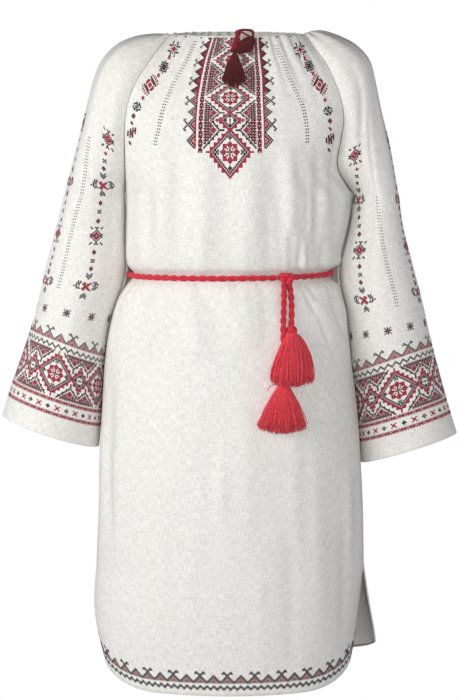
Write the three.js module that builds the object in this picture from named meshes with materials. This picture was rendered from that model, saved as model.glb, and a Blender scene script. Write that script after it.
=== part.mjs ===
// Embroidered linen shirt dress (vyshyvanka) as it is worn: gathered round neck with a drawstring, long raglan bell
// sleeves, a twisted waist cord with two tassels, and a rounded hem with side vents.
// Millimetres, +Z up. The front faces -Y and the wearer's left is +X. The origin is the middle of the neck opening,
// at shoulder height, where the wearer's shoulders carry the dress.
import * as THREE from 'three';
import { mergeVertices } from 'three/addons/utils/BufferGeometryUtils.js';

// ---------------------------------------------------------------- driving sizes

const CLOTH = 1.6; // wall of gathered homespun linen
const SEAM_GAP = 0.3; // between two pieces along a seam
const CLEAR = 0.3; // between a cord and the cloth that it lies on

const UNDERARM_Z = -230;
const BELT_Z = -350;
const BELT_TILT = 1 / 60; // the waist cord sits a little higher at the wearer's left
const VENT_TOP_Z = -785;
const HEM = {
  front: { z: -952, rise: 49, from: 0.4, curve: 1.8 }, // the hem rises towards its corners from this share across
  back: { z: -950, rise: 33, from: 0.3, curve: 1.6 },
};

const PLEATS = { count: 8, height: 3, fade: 135, plainHalfWidth: 30, fullHalfWidth: 62 };

const PANEL_COLUMNS = 32;
const SLEEVE_COLUMNS = 16;
const YOKE_STEPS = 9; // rows between the neck and the underarm, shared by panels and sleeves
const SKIRT_ROWS = [-258, -286, -314, -334, -350, -364, -386, -425, -480, -550, -640, -740, -785, -840, -895, -952];
const SLEEVE_ROWS = [0.4, 0.8, 1.3, 1.9, 2.6, 3.4, 4.2, 5.1, 6];

// ---------------------------------------------------------------- tables, one row for each section

// Raglan seams, from the neck (row 0) to the underarm (row 8).
const SEAM = table('row frontY frontZ backY backZ right left', [
  [0, -26, 2, 26, 6, 88, 107],
  [1, -42, -19, 42, -12, 104, 121],
  [2, -54, -42, 54, -36, 120, 137],
  [3, -62, -68, 64, -64, 136, 149],
  [4, -64, -95, 68, -92, 147, 158],
  [5, -60, -122, 64, -120, 152, 162],
  [6, -50, -152, 54, -151, 154, 158],
  [7, -36, -190, 40, -190, 154, 155],
  [8, 7, UNDERARM_Z, 7, UNDERARM_Z, 156, 180],
]);

// Centre front and centre back beside those rows, and the angle that a row of a panel turns through on each side.
const CENTRE = table('row frontY frontZ backY backZ turn', [
  [0, -70, -3, 70, 12, 68],
  [1, -79, -30, 80, -16, 68],
  [2, -88, -60, 90, -45, 69],
  [3, -97, -90, 98, -75, 71],
  [4, -105, -118, 104, -105, 74],
  [5, -111, -146, 108, -135, 78],
  [6, -115, -173, 110, -165, 82],
  [7, -117, -200, 110, -195, 86],
  [8, -117, UNDERARM_Z, 108, UNDERARM_Z, 90],
]);

// Top of the shoulder and upper arm, and half the sleeve's depth there.
const SHOULDER = table('row rightX rightZ leftX leftZ halfDepth', [
  [0, 96, 3, 116, 7, 26],
  [1, 118, 3, 134, 8, 43],
  [2, 143, -1, 160, 0, 56],
  [3, 168, -12, 184, -13, 66],
  [4, 188, -32, 203, -34, 71],
  [5, 201, -60, 212, -66, 71],
  [6, 213, -105, 221, -108, 69],
  [7, 227, -160, 234, -160, 65],
  [8, 246, -230, 247, -230, 60],
]);

// Body below the underarm: half widths, and how far the centre front and centre back stand out.
const BODY = table('z right left frontY backY', [
  [UNDERARM_Z, 156, 180, -117, 108],
  [-258, 155.5, 177, -117, 107],
  [-286, 156, 172, -115, 105],
  [-314, 156.5, 165, -112, 102],
  [-334, 154, 157, -107, 97],
  [BELT_Z, 144.5, 142.5, -96, 89],
  [-364, 154, 152, -100, 93],
  [-386, 169, 167, -106, 101],
  [-422, 180, 173.5, -111, 110],
  [-470, 188, 179, -116, 118],
  [-520, 192, 186, -119, 123],
  [-570, 195, 191.5, -121, 126],
  [-622, 198, 195, -123, 128],
  [-692, 199.5, 199, -125, 129],
  [-765, 203, 201, -127, 130],
  [-850, 206, 203, -129, 132],
  [-952, 206, 204, -130, 133],
]);

// How far the free edges of the side vents stray outwards (x) and forwards or backwards (y).
const VENT = table('z frontRight frontLeft frontY backRight backLeft backY', [
  [VENT_TOP_Z, 0, 0, 0, 0, 0, 0],
  [-850, 0, -11, -17, -2, 9, 13],
  [-905, -14, -21, -34, -12, 19, 34],
  [-952, -20, -26, -45, -14, 24, 44],
]);

// Sleeves below the underarm: outer and inner edge, middle of the depth, and half the depth.
const SLEEVE = {
  right: table('row outerX outerZ innerX innerZ middleY halfDepth', [
    [0, 246, -230, 156, -230, 7, 60],
    [1, 259, -281, 157.2, -285, 10, 58],
    [2, 275, -340, 157.5, -350, 15, 61],
    [3, 290, -403, 181.3, -425, 20, 65],
    [4, 310, -464, 189.8, -495, 24, 69],
    [5, 329.5, -516, 194.6, -558, 26, 74],
    [6, 345, -561, 199.5, -610, 28, 80],
  ]),
  left: table('row outerX outerZ innerX innerZ middleY halfDepth', [
    [0, 247, -230, 180, -230, 7, 60],
    [1, 255, -279, 175.6, -283, 10, 58],
    [2, 270, -334, 161.5, -345, 15, 61],
    [3, 286, -393, 173.4, -412, 19, 65],
    [4, 301.6, -458, 180.6, -484, 23, 69],
    [5, 322, -530, 190.6, -566, 26, 74],
    [6, 341, -589, 196.6, -635, 28, 80],
  ]),
};

// Largest folds: where a ridge (or a trough, when its height is negative) runs, as a share of the half width.
const FOLDS = {
  front: table('top bottom acrossTop acrossBottom width height', [
    [-140, -338, -0.6, -0.64, 0.08, 4],
    [-190, -340, -0.38, -0.44, 0.07, 3],
    [-150, -340, 0.34, 0.37, 0.06, 3],
    [-165, -340, 0.52, 0.52, 0.06, 4],
    [-180, -340, 0.72, 0.68, 0.07, 4],
    [-360, -560, -0.46, -0.4, 0.08, -4],
    [-358, -500, -0.22, -0.2, 0.06, -2],
    [-358, -440, 0.2, 0.24, 0.06, 2],
    [-358, -500, 0.42, 0.74, 0.07, 4],
    [-600, -760, -0.07, -0.06, 0.08, 2],
    [-560, -840, -0.84, -0.82, 0.08, 3],
    [-620, -840, 0.84, 0.82, 0.07, 3],
  ]),
  back: table('top bottom acrossTop acrossBottom width height', [
    [-150, -340, -0.68, -0.6, 0.07, 4],
    [-190, -342, -0.38, -0.36, 0.07, 5],
    [-170, -342, -0.08, -0.1, 0.07, 4],
    [-180, -342, 0.2, 0.22, 0.07, 5],
    [-150, -340, 0.5, 0.5, 0.08, 4],
    [-358, -620, -0.62, -0.66, 0.08, 4],
    [-358, -560, -0.34, -0.36, 0.07, 5],
    [-358, -680, 0.02, 0.04, 0.08, 4],
    [-358, -600, 0.34, 0.4, 0.07, 5],
    [-358, -580, 0.62, 0.68, 0.08, 4],
  ]),
};

// Sleeve folds run from one row of the sleeve to another; 'around' is 0 on the outer side and -1 at the front seam.
const SLEEVE_FOLDS = table('top bottom aroundTop aroundBottom width height', [
  [0.2, 6.2, -0.5, -0.36, 0.16, 3],
  [0.2, 6.2, 0.5, 0.36, 0.16, 3],
  [3, 10.5, -0.66, -0.62, 0.1, -3],
  [3, 11, 0.62, 0.5, 0.1, -3],
  [5, 13, -0.3, -0.24, 0.1, 2.5],
  [8, 14, 0.2, 0.1, 0.12, 3],
]);

const WAIST_CORD = { radius: 5, seat: 7.5, knotX: 80, steps: 56 };
const WAIST_KNOT = { halfWidth: 8.4, halfDepth: 7.6, halfHeight: 7.2 };
const CORD_END_RADIUS = 4;
const BALL_RADIUS = 7.4;
const NECK_CORD = { radius: 1.35, inset: 4.7, drop: 5, steps: 60 };

// Routes of the hanging ends, as x and z; the cloth behind them gives y.
const WAIST_END_SHORT = [[84, -357], [86, -370], [87, -385], [87, -400], [86.6, -412]];
const WAIST_END_LONG = [[76.5, -357], [76, -380], [75, -410], [75, -440], [75.4, -470], [75.4, -497]];

const UPPER_TASSEL = { topX: 86.4, topZ: -426.9, footX: 85, footZ: -497, head: 6.5, halfWidth: 30, halfDepth: 14 };
const LOWER_TASSEL = { topX: 75.4, topZ: -497.4, footX: 72, footZ: -565, head: 6.5, halfWidth: 34, halfDepth: 14 };

// Drawstring's knot over the neck edge, its two ends (the upper one arches over the edge as x, y and z; the lower one
// hangs on the cloth), and their tassels.
const NECK_KNOT = { centre: [9, -73.9, -0.5], halfSizes: [4.2, 4, 5.5] };
const NECK_END_UPPER = [
  [11.8, -75.6, 3.5], [17, -76.6, 6], [23, -76.8, 6.6], [29, -76.8, 5.2], [32, -76.8, 1], [31.5, -76.6, -3.5],
  [30, -76.6, -7],
];
const NECK_END_LOWER = [[8.2, -7], [7.2, -13], [6, -20], [5, -27], [4.5, -34]];
const NECK_TASSEL_UPPER = { topX: 29.5, topZ: -8.4, footX: 21, footZ: -30, head: 3, halfWidth: 10, halfDepth: 5 };
const NECK_TASSEL_LOWER = { topX: 4.5, topZ: -34.2, footX: 3.5, footZ: -76, head: 4, halfWidth: 13, halfDepth: 7 };

const RED = [0.72, 0.06, 0.14];
const DARK_RED = [0.28, 0.04, 0.05];
const LINEN = [0.86, 0.845, 0.81];

// ---------------------------------------------------------------- small tools

// A table with named columns. The first column is its key, and at(key) gives every column there, smoothly.
function table(names, rows) {
  const columns = names.split(' ');
  const rising = rows[1][0] > rows[0][0];
  const sorted = rising ? rows : [...rows].reverse();
  const slope = (column, i) => {
    const [a, b] = [sorted[Math.max(i - 1, 0)], sorted[Math.min(i + 1, sorted.length - 1)]];
    return (b[column] - a[column]) / (b[0] - a[0]);
  };
  return {
    rows: rows.map((row) => Object.fromEntries(columns.map((name, column) => [name, row[column]]))),
    at(key) {
      const place = THREE.MathUtils.clamp(key, sorted[0][0], sorted.at(-1)[0]);
      const next = sorted.findIndex((row, i) => i > 0 && place <= row[0]);
      const [a, b] = [sorted[next - 1], sorted[next]];
      const step = b[0] - a[0];
      const t = (place - a[0]) / step;
      const blend = (column) => (2 * t ** 3 - 3 * t ** 2 + 1) * a[column]
        + (t ** 3 - 2 * t ** 2 + t) * step * slope(column, next - 1)
        + (3 * t ** 2 - 2 * t ** 3) * b[column]
        + (t ** 3 - t ** 2) * step * slope(column, next);
      return Object.fromEntries(columns.map((name, column) => [name, blend(column)]));
    },
  };
}

const { lerp, degToRad, smoothstep } = THREE.MathUtils;
const sideOf = (across) => (across < 0 ? 'right' : 'left');
const signOf = (side) => (side === 'right' ? -1 : 1);

// ---------------------------------------------------------------- the cloth's form

// A seam's point beside a row between the neck (0) and the underarm (8).
function seamPoint(face, side, row) {
  const seam = SEAM.at(row);
  return new THREE.Vector3(signOf(side) * seam[side], seam[`${face}Y`], seam[`${face}Z`]);
}

// The height of a row below the underarm, which bends up towards the hem's rounded corners.
function rowHeight(face, across, z) {
  const hem = HEM[face];
  const corner = Math.max(0, (Math.abs(across) - hem.from) / (1 - hem.from)) ** hem.curve;
  return z + hem.rise * corner * smoothstep(-z, -VENT_TOP_Z + 20, -hem.z);
}

// The edge of a panel below the underarm: its side seam, and then the free edge of the vent.
function sideEdge(face, side, z) {
  const height = rowHeight(face, 1, z);
  const vent = VENT.at(Math.min(height, VENT_TOP_Z));
  const column = `${face}${side === 'right' ? 'Right' : 'Left'}`;
  return new THREE.Vector3(
    signOf(side) * (BODY.at(height)[side] + vent[column]),
    SEAM.rows.at(-1).frontY + vent[`${face}Y`],
    height,
  );
}

// Gathers and folds die away at a seam, where two pieces meet.
const flatAtSeam = (across) => 1 - across ** 8;

// How far the gathers at the neck push the cloth out: full at the neck's edge and gone a hand's width below.
function gathers(face, across, x, drop) {
  const plain = face === 'front' ? smoothstep(Math.abs(x), PLEATS.plainHalfWidth, PLEATS.fullHalfWidth) : 1;
  const fade = (1 - smoothstep(drop, 0, PLEATS.fade)) ** 1.5;
  return PLEATS.height * plain * fade * flatAtSeam(across) * Math.cos(2 * Math.PI * PLEATS.count * across);
}

// How far the large folds push the cloth out at a place on a panel.
function foldHeight(folds, key, across, value) {
  return folds.rows.reduce((sum, fold) => {
    const along = (value - fold[key[0]]) / (fold[key[1]] - fold[key[0]]);
    if (along <= 0 || along >= 1) return sum;
    const middle = lerp(fold[key[2]], fold[key[3]], along);
    const rise = Math.sin(Math.PI * along ** 0.8) ** 0.8;
    return sum + fold.height * rise * Math.exp(-(((across - middle) / fold.width) ** 2));
  }, 0);
}

// A point of the front or back, from -1 (the wearer's right seam) to 1 across, at a row down: { row } or { z }.
function panelPoint(face, across, down) {
  const side = sideOf(across);
  const yoke = down.row !== undefined;
  const centre = yoke ? CENTRE.at(down.row) : BODY.at(down.z);
  const edge = yoke ? seamPoint(face, side, down.row) : sideEdge(face, side, down.z);
  const turn = degToRad(yoke ? centre.turn : 90);
  const angle = Math.abs(across) * turn;
  const share = (1 - Math.cos(angle)) / (1 - Math.cos(turn));
  const x = (edge.x * Math.sin(angle)) / Math.sin(turn);
  const y = lerp(centre[`${face}Y`], edge.y, share);
  const level = yoke ? lerp(centre[`${face}Z`], edge.z, share) : rowHeight(face, across, down.z);
  const z = level + x * BELT_TILT * Math.exp(-(((level - BELT_Z) / 60) ** 2));
  const drop = CENTRE.rows[0][`${face}Z`] - z;
  const out = gathers(face, across, x, drop)
    + flatAtSeam(across) * foldHeight(FOLDS[face], ['top', 'bottom', 'acrossTop', 'acrossBottom'], across, level);
  const outwards = new THREE.Vector3(x, y, 0).normalize();
  return new THREE.Vector3(x, y, z).addScaledVector(outwards, out);
}

// A point of a sleeve, from -1 (its front seam) over the outer side (0) to 1, at a row down: { row } or { ring }.
function sleevePoint(side, around, down) {
  const sign = signOf(side);
  const yoke = down.row !== undefined;
  let front, back, top, halfDepth;
  if (yoke) {
    [front, back] = [seamPoint('front', side, down.row), seamPoint('back', side, down.row)];
    const ridge = SHOULDER.at(down.row);
    top = new THREE.Vector3(sign * ridge[`${side}X`], 0, ridge[`${side}Z`]);
    halfDepth = ridge.halfDepth;
  } else {
    const ring = SLEEVE[side].at(down.ring);
    front = new THREE.Vector3(sign * ring.innerX, ring.middleY, ring.innerZ);
    back = front;
    top = new THREE.Vector3(sign * ring.outerX, 0, ring.outerZ);
    halfDepth = ring.halfDepth;
  }
  const seamMiddle = front.clone().add(back).multiplyScalar(0.5);
  top.y = seamMiddle.y;
  const wrap = Math.acos(Math.min(1, (back.y - front.y) / 2 / halfDepth));
  const outwards = top.clone().sub(seamMiddle);
  const reach = outwards.length() / (1 + Math.sin(wrap));
  outwards.normalize();
  const angle = around * (Math.PI / 2 + wrap);
  const place = yoke ? down.row : 8 + down.ring;
  const ease = SEAM_GAP * (1.5 + smoothstep(place, 5, 8));
  const fold = foldHeight(SLEEVE_FOLDS, ['top', 'bottom', 'aroundTop', 'aroundBottom'], around, place);
  return top.clone()
    .addScaledVector(outwards, reach * (Math.cos(angle) - 1) + fold * Math.cos(angle))
    .add(new THREE.Vector3(sign * ease, (halfDepth + fold) * Math.sin(angle), 0))
    .addScaledVector(front.clone().sub(back).setY(0), -around / 2);
}

// ---------------------------------------------------------------- cloth walls

// The way out of a surface, from its points beside (s, t).
function wayOut(point, s, t, flip) {
  const [ds, dt] = [0.004, 0.02];
  const across = point(s + ds, t).sub(point(s - ds, t));
  const down = point(s, t + dt).sub(point(s, t - dt));
  return down.cross(across).normalize().multiplyScalar(flip ? -1 : 1);
}

// Rows of a piece as steps t: whole numbers are its rows, and parts of a step lie between them.
const yokeRow = (t) => ({ row: THREE.MathUtils.clamp((8 * t) / YOKE_STEPS, 0, 8) });

function stepOf(list, t) {
  const index = THREE.MathUtils.clamp(t, 0, list.length - 1);
  const low = Math.min(Math.floor(index), list.length - 2);
  return lerp(list[low], list[low + 1], index - low);
}

const skirtLevels = [UNDERARM_Z, ...SKIRT_ROWS];
const panelDown = (t) => (t < YOKE_STEPS ? yokeRow(t) : { z: stepOf(skirtLevels, t - YOKE_STEPS) });
const sleeveDown = (t) => (t < YOKE_STEPS ? yokeRow(t) : { ring: stepOf([0, ...SLEEVE_ROWS], t - YOKE_STEPS) });
const panelSurface = (face) => (s, t) => panelPoint(face, s, panelDown(t));
const sleeveSurface = (side) => (s, t) => sleevePoint(side, s, sleeveDown(t));

// At a seam both pieces offset their walls along one shared direction, which turns down at the underarm.
function seamWayOut(parts, t) {
  const sum = new THREE.Vector3();
  for (const part of parts) sum.add(wayOut(part.point, part.s, t, part.flip));
  sum.z -= 2 * smoothstep(t, YOKE_STEPS - 1.5, YOKE_STEPS) * (t > YOKE_STEPS ? 0 : 1);
  return sum.normalize();
}

const piece = {
  front: { point: panelSurface('front'), flip: false },
  back: { point: panelSurface('back'), flip: true },
  right: { point: sleeveSurface('right'), flip: true },
  left: { point: sleeveSurface('left'), flip: false },
};

// The two edges that share a seam at step t, beside a piece's edge (end is -1 or 1).
function seamPartners(name, end, t) {
  const isPanel = name === 'front' || name === 'back';
  const side = isPanel ? sideOf(end) : name;
  const face = isPanel ? name : (end < 0 ? 'front' : 'back');
  if (t <= YOKE_STEPS) return [{ ...piece[face], s: signOf(side) }, { ...piece[side], s: face === 'front' ? -1 : 1 }];
  if (!isPanel) return [{ ...piece[name], s: -1 }, { ...piece[name], s: 1 }];
  if (panelDown(t).z < VENT_TOP_Z) return [{ ...piece[name], s: end }];
  return [{ ...piece.front, s: end }, { ...piece.back, s: end }];
}

// Half a row's length, which turns the seam gap into a share of it.
function halfLength(point, end, t) {
  const places = Array.from({ length: 9 }, (_, i) => point((end * i) / 8, t));
  return places.slice(1).reduce((sum, place, i) => sum + place.distanceTo(places[i]), 0);
}

// A closed wall of cloth: outer points, inner points one thickness in, and the four edges between them.
function clothWall(name, rowCount, columnCount) {
  const { point, flip } = piece[name];
  const outer = [];
  const inner = [];
  for (let i = 0; i <= rowCount; i += 1) {
    for (let j = 0; j <= columnCount; j += 1) {
      const whole = (2 * j) / columnCount - 1;
      const atSeam = j === 0 || j === columnCount;
      const s = atSeam ? whole * (1 - SEAM_GAP / 2 / halfLength(point, whole, i)) : whole;
      const place = point(s, i);
      const out = atSeam ? seamWayOut(seamPartners(name, whole, i), i) : wayOut(point, s, i, flip);
      outer.push(place);
      inner.push(place.clone().addScaledVector(out, -CLOTH));
    }
  }
  const width = columnCount + 1;
  const inside = outer.length;
  const faces = [];
  const quad = (a, b, c, d) => (flip ? faces.push(a, c, b, a, d, c) : faces.push(a, b, c, a, c, d));
  for (let i = 0; i < rowCount; i += 1) {
    for (let j = 0; j < columnCount; j += 1) {
      const [a, b, c, d] = [i * width + j, (i + 1) * width + j, (i + 1) * width + j + 1, i * width + j + 1];
      quad(a, b, c, d);
      quad(inside + a, inside + d, inside + c, inside + b);
    }
    const [first, last] = [i * width, i * width + columnCount];
    quad(first, inside + first, inside + first + width, first + width);
    quad(last, last + width, inside + last + width, inside + last);
  }
  for (let j = 0; j < columnCount; j += 1) {
    const end = rowCount * width + j;
    quad(j, j + 1, inside + j + 1, inside + j);
    quad(end, inside + end, inside + end + 1, end + 1);
  }
  const geometry = new THREE.BufferGeometry().setFromPoints([...outer, ...inner]);
  geometry.setIndex(faces);
  geometry.computeVertexNormals();
  return geometry;
}

// ---------------------------------------------------------------- cords, knots and tassels

// Where the front panel's outer surface is, in y, at a given x and z.
function frontY(x, z) {
  const side = sideOf(x);
  const placeAt = (t) => {
    const down = panelDown(t);
    const turn = degToRad(down.row === undefined ? 90 : CENTRE.at(down.row).turn);
    const halfWidth = Math.abs(piece.front.point(signOf(side), t).x);
    const sine = Math.min(1, (Math.abs(x) * Math.sin(turn)) / halfWidth);
    return piece.front.point((signOf(side) * Math.asin(sine)) / turn, t);
  };
  let [above, below] = [0, YOKE_STEPS + SKIRT_ROWS.length];
  for (let i = 0; i < 24; i += 1) {
    const middle = (above + below) / 2;
    if (placeAt(middle).z > z) above = middle;
    else below = middle;
  }
  return placeAt(above).y;
}

// The y at which something of this half width and half depth just clears the front there.
function clearOfFront(x, z, halfWidth, halfDepth) {
  const places = [-1, -0.7, -0.35, 0, 0.35, 0.7, 1];
  return Math.min(...places.flatMap((wide) => [-0.8, 0, 0.8].map((high) => (
    frontY(x + wide * halfWidth, z + high * halfDepth) - halfDepth * Math.sqrt(1 - Math.min(1, wide ** 2) * 0.98)
  )))) - 2 * CLEAR;
}

function cord(points, radius, steps, sides) {
  const section = new THREE.Shape(Array.from({ length: sides }, (_, i) => {
    const angle = (2 * Math.PI * i) / sides;
    return new THREE.Vector2(radius * Math.cos(angle), radius * Math.sin(angle));
  }));
  const extrudePath = new THREE.CatmullRomCurve3(points);
  return new THREE.ExtrudeGeometry(section, { steps, extrudePath, bevelEnabled: false });
}

// A hanging end lies on the front, just clear of its cloth.
function restingOnFront(route, radius) {
  return route.map(([x, z]) => new THREE.Vector3(x, clearOfFront(x, z, radius, radius), z));
}

// The waist cord goes once round, from one side of its knot to the other.
function waistLine() {
  const section = BODY.at(BELT_Z);
  const middleY = SEAM.rows.at(-1).frontY;
  const place = (angle) => {
    const side = Math.sin(angle) < 0 ? 'right' : 'left';
    const depth = Math.cos(angle) > 0 ? middleY - section.frontY : section.backY - middleY;
    const x = (section[side] + WAIST_CORD.seat) * Math.sin(angle);
    return new THREE.Vector3(x, middleY - (depth + WAIST_CORD.seat) * Math.cos(angle), BELT_Z + x * BELT_TILT);
  };
  const knotAngle = Math.asin(WAIST_CORD.knotX / (section.left + WAIST_CORD.seat));
  const halfKnot = (WAIST_KNOT.halfWidth + WAIST_KNOT.halfDepth / 3) / (section.left + WAIST_CORD.seat);
  const [from, to] = [knotAngle + halfKnot, knotAngle - halfKnot + 2 * Math.PI];
  const points = Array.from({ length: WAIST_CORD.steps + 1 }, (_, i) => place(lerp(from, to, i / WAIST_CORD.steps)));
  return { points, knot: place(knotAngle) };
}

// The drawstring runs round inside the neck edge, its two ends coming out at the centre front.
function neckLine() {
  const [edge, centre] = [SEAM.rows[0], CENTRE.rows[0]];
  const turn = degToRad(centre.turn);
  const halfGap = 0.06;
  return Array.from({ length: NECK_CORD.steps + 1 }, (_, i) => {
    const angle = lerp(halfGap, 2 * Math.PI - halfGap, i / NECK_CORD.steps) + 0.08;
    const side = Math.sin(angle) < 0 ? 'right' : 'left';
    const halfWidth = edge[side] / Math.sin(turn) - NECK_CORD.inset;
    const towardsBack = (1 - Math.cos(angle)) / 2;
    return new THREE.Vector3(
      halfWidth * Math.sin(angle),
      (centre.frontY + NECK_CORD.inset) * Math.cos(angle),
      lerp(centre.frontZ, centre.backZ, towardsBack) - NECK_CORD.drop,
    );
  });
}

function lump(centre, halfWidth, halfDepth, halfHeight) {
  const geometry = new THREE.SphereGeometry(1, 12, 8);
  geometry.rotateX(Math.PI / 2);
  geometry.scale(halfWidth, halfDepth, halfHeight);
  return geometry.translate(centre.x, centre.y, centre.z);
}

// The plain reach of a tassel: its bound head, and threads that widen to the cut end, flattened front to back.
function tassel(top, foot, head, halfWidth, halfDepth) {
  const length = top.distanceTo(foot);
  const profile = [
    [0, 0], [0.8 * head, 0], [head, 0.06], [head, 0.2], [0.86 * head, 0.25],
    [lerp(head, halfWidth, 0.42), 0.45], [lerp(head, halfWidth, 0.8), 0.75], [halfWidth, 1], [0, 1],
  ].reverse().map(([radius, share]) => new THREE.Vector2(radius, -share * length));
  const geometry = new THREE.LatheGeometry(profile, 14);
  geometry.rotateX(Math.PI / 2);
  const position = geometry.getAttribute('position');
  const lean = foot.clone().sub(top).divideScalar(length);
  for (let i = 0; i < position.count; i += 1) {
    const down = -position.getZ(i);
    const flat = lerp(1, halfDepth / halfWidth, Math.min(1, down / (0.6 * length)));
    position.setXYZ(
      i,
      top.x + position.getX(i) + lean.x * down,
      top.y + position.getY(i) * flat + lean.y * down,
      top.z + lean.z * down,
    );
  }
  return geometry;
}

// A tassel that hangs from its top and rests its cut end on the front, or on what lies between them.
function hangingTassel(sizes, between) {
  const { topX, topZ, footX, footZ, head, halfWidth, halfDepth } = sizes;
  const topY = clearOfFront(topX, topZ - head, head, head) - 0.6 * between;
  const footY = clearOfFront(footX, footZ, halfWidth, halfDepth) - between;
  const [top, foot] = [new THREE.Vector3(topX, topY, topZ), new THREE.Vector3(footX, footY, footZ)];
  return tassel(top, foot, head, halfWidth, halfDepth);
}

// ---------------------------------------------------------------- the dress

const dress = new THREE.Group();

function add(name, geometry, colour, roughness = 0.9) {
  const bare = geometry.clone();
  bare.deleteAttribute('uv');
  bare.deleteAttribute('normal');
  const closed = mergeVertices(bare, 1e-4);
  closed.computeVertexNormals();
  const material = new THREE.MeshStandardMaterial({ color: new THREE.Color(...colour), roughness, metalness: 0 });
  const mesh = new THREE.Mesh(closed, material);
  mesh.name = name;
  dress.add(mesh);
}

const panelSteps = YOKE_STEPS + SKIRT_ROWS.length;
const sleeveSteps = YOKE_STEPS + SLEEVE_ROWS.length;
add('front_panel', clothWall('front', panelSteps, PANEL_COLUMNS), LINEN);
add('back_panel', clothWall('back', panelSteps, PANEL_COLUMNS), LINEN);
add('sleeve_right', clothWall('right', sleeveSteps, SLEEVE_COLUMNS), LINEN);
add('sleeve_left', clothWall('left', sleeveSteps, SLEEVE_COLUMNS), LINEN);

// Waist cord, its knot and its two hanging ends.
const waist = waistLine();
add('waist_cord', cord(waist.points, WAIST_CORD.radius, WAIST_CORD.steps, 8), RED);
const { halfWidth, halfDepth, halfHeight } = WAIST_KNOT;
waist.knot.y = clearOfFront(waist.knot.x, waist.knot.z, halfWidth, halfDepth);
add('waist_knot', lump(waist.knot, halfWidth, halfDepth, halfHeight), RED);

const shortEnd = restingOnFront(WAIST_END_SHORT, CORD_END_RADIUS);
const longEnd = restingOnFront(WAIST_END_LONG, CORD_END_RADIUS);
add('waist_end_short', cord(shortEnd, CORD_END_RADIUS, 8, 8), RED);
add('waist_end_long', cord(longEnd, CORD_END_RADIUS, 14, 8), RED);

// The short end's ball knot and tassel hang in front of the long end.
const overLongEnd = 2 * CORD_END_RADIUS + 4.5;
const [ballX, , ballZ] = shortEnd.at(-1).clone().add(new THREE.Vector3(0, 0, CLEAR - BALL_RADIUS));
const ball = new THREE.Vector3(ballX, clearOfFront(ballX, ballZ, BALL_RADIUS, BALL_RADIUS), ballZ);
add('waist_ball_knot', lump(ball, BALL_RADIUS, BALL_RADIUS, BALL_RADIUS), RED);
add('waist_tassel_upper', hangingTassel(UPPER_TASSEL, overLongEnd), RED);
add('waist_tassel_lower', hangingTassel(LOWER_TASSEL, 0), RED);

// Neck drawstring, its knot outside the centre front, and its two ends.
add('neck_drawstring', cord(neckLine(), NECK_CORD.radius, NECK_CORD.steps, 8), DARK_RED);
add('neck_knot', lump(new THREE.Vector3(...NECK_KNOT.centre), ...NECK_KNOT.halfSizes), DARK_RED);
const loop = NECK_END_UPPER.map((place) => new THREE.Vector3(...place));
add('neck_end_upper', cord(loop, NECK_CORD.radius, 14, 8), DARK_RED);
add('neck_end_lower', cord(restingOnFront(NECK_END_LOWER, NECK_CORD.radius), NECK_CORD.radius, 10, 8), DARK_RED);
add('neck_tassel_upper', hangingTassel(NECK_TASSEL_UPPER, 0), DARK_RED);
add('neck_tassel_lower', hangingTassel(NECK_TASSEL_LOWER, 0), DARK_RED);

export default dress;
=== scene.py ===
"""A knee-length linen shirt dress (vyshyvanka) as it is worn: gathered neck with a drawstring, raglan bell sleeves,
cross-stitched yoke, cuffs and hem, and a twisted cord belt with two tassels. Sizes are in millimetres until a mesh is
made. The front faces -Y, and the wearer's left is +X."""
import math

import bpy
import numpy as np
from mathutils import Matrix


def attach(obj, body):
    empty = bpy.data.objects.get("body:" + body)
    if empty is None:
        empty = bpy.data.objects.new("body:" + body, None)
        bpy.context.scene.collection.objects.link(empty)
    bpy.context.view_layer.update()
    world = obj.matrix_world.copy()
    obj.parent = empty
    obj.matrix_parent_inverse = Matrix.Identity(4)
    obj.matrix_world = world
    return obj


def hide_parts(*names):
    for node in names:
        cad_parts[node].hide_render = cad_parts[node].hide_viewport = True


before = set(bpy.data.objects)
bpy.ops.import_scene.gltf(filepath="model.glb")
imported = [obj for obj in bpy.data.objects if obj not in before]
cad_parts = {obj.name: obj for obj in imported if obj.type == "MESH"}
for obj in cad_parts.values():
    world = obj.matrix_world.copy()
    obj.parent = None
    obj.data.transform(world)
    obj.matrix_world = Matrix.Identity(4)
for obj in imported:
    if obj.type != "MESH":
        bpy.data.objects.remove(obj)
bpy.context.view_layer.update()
MM = 0.001
BODY_NAME = "root"

# ---------------------------------------------------------------- camera

camera = bpy.data.cameras.new("studio_camera")
camera.sensor_fit = "VERTICAL"
camera.sensor_height = 24
camera.lens = 60.07
camera.clip_end = 50
camera_stand = bpy.data.objects.new("studio_camera", camera)
camera_stand.location = (-0.0022, -2.6, -0.17)
camera_stand.rotation_euler = (math.radians(90 - 6.387), 0, 0)
bpy.context.scene.collection.objects.link(camera_stand)
bpy.context.scene.camera = camera_stand

# ---------------------------------------------------------------- driving sizes, as in the part

CLOTH = 1.1  # the wall that shows
SEAM_GAP = 0.3
SIDE_Y = 7  # the side seams lie this far behind the middle of the neck
UNDERARM_Z = -230
BELT_Z = -350
BELT_TILT = 1 / 200
BELT_RISE, BELT_PULL = 3, 60  # the belt rides this far above the waist, and takes the cloth this near it along
VENT_TOP_Z = -785
HEM = {"front": (-952, 49, 0.4, 1.8), "back": (-950, 33, 0.3, 1.6)}  # height, rise at the corner, from, curve
SKIRT_STEP = 25  # below the underarm, one step down is this long
YOKE_ROWS, SLEEVE_ROWS = 8, 6  # above the underarm, and below it on a sleeve
PANEL_DOWN = YOKE_ROWS + (UNDERARM_Z - HEM["front"][0]) / SKIRT_STEP
SLEEVE_DOWN = YOKE_ROWS + SLEEVE_ROWS
PLEATS, PLEAT_HEIGHT, PLEAT_LENGTH = 8, 0.6 * 3, 135  # even gathers at the neck, from the middle to a seam
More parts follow.
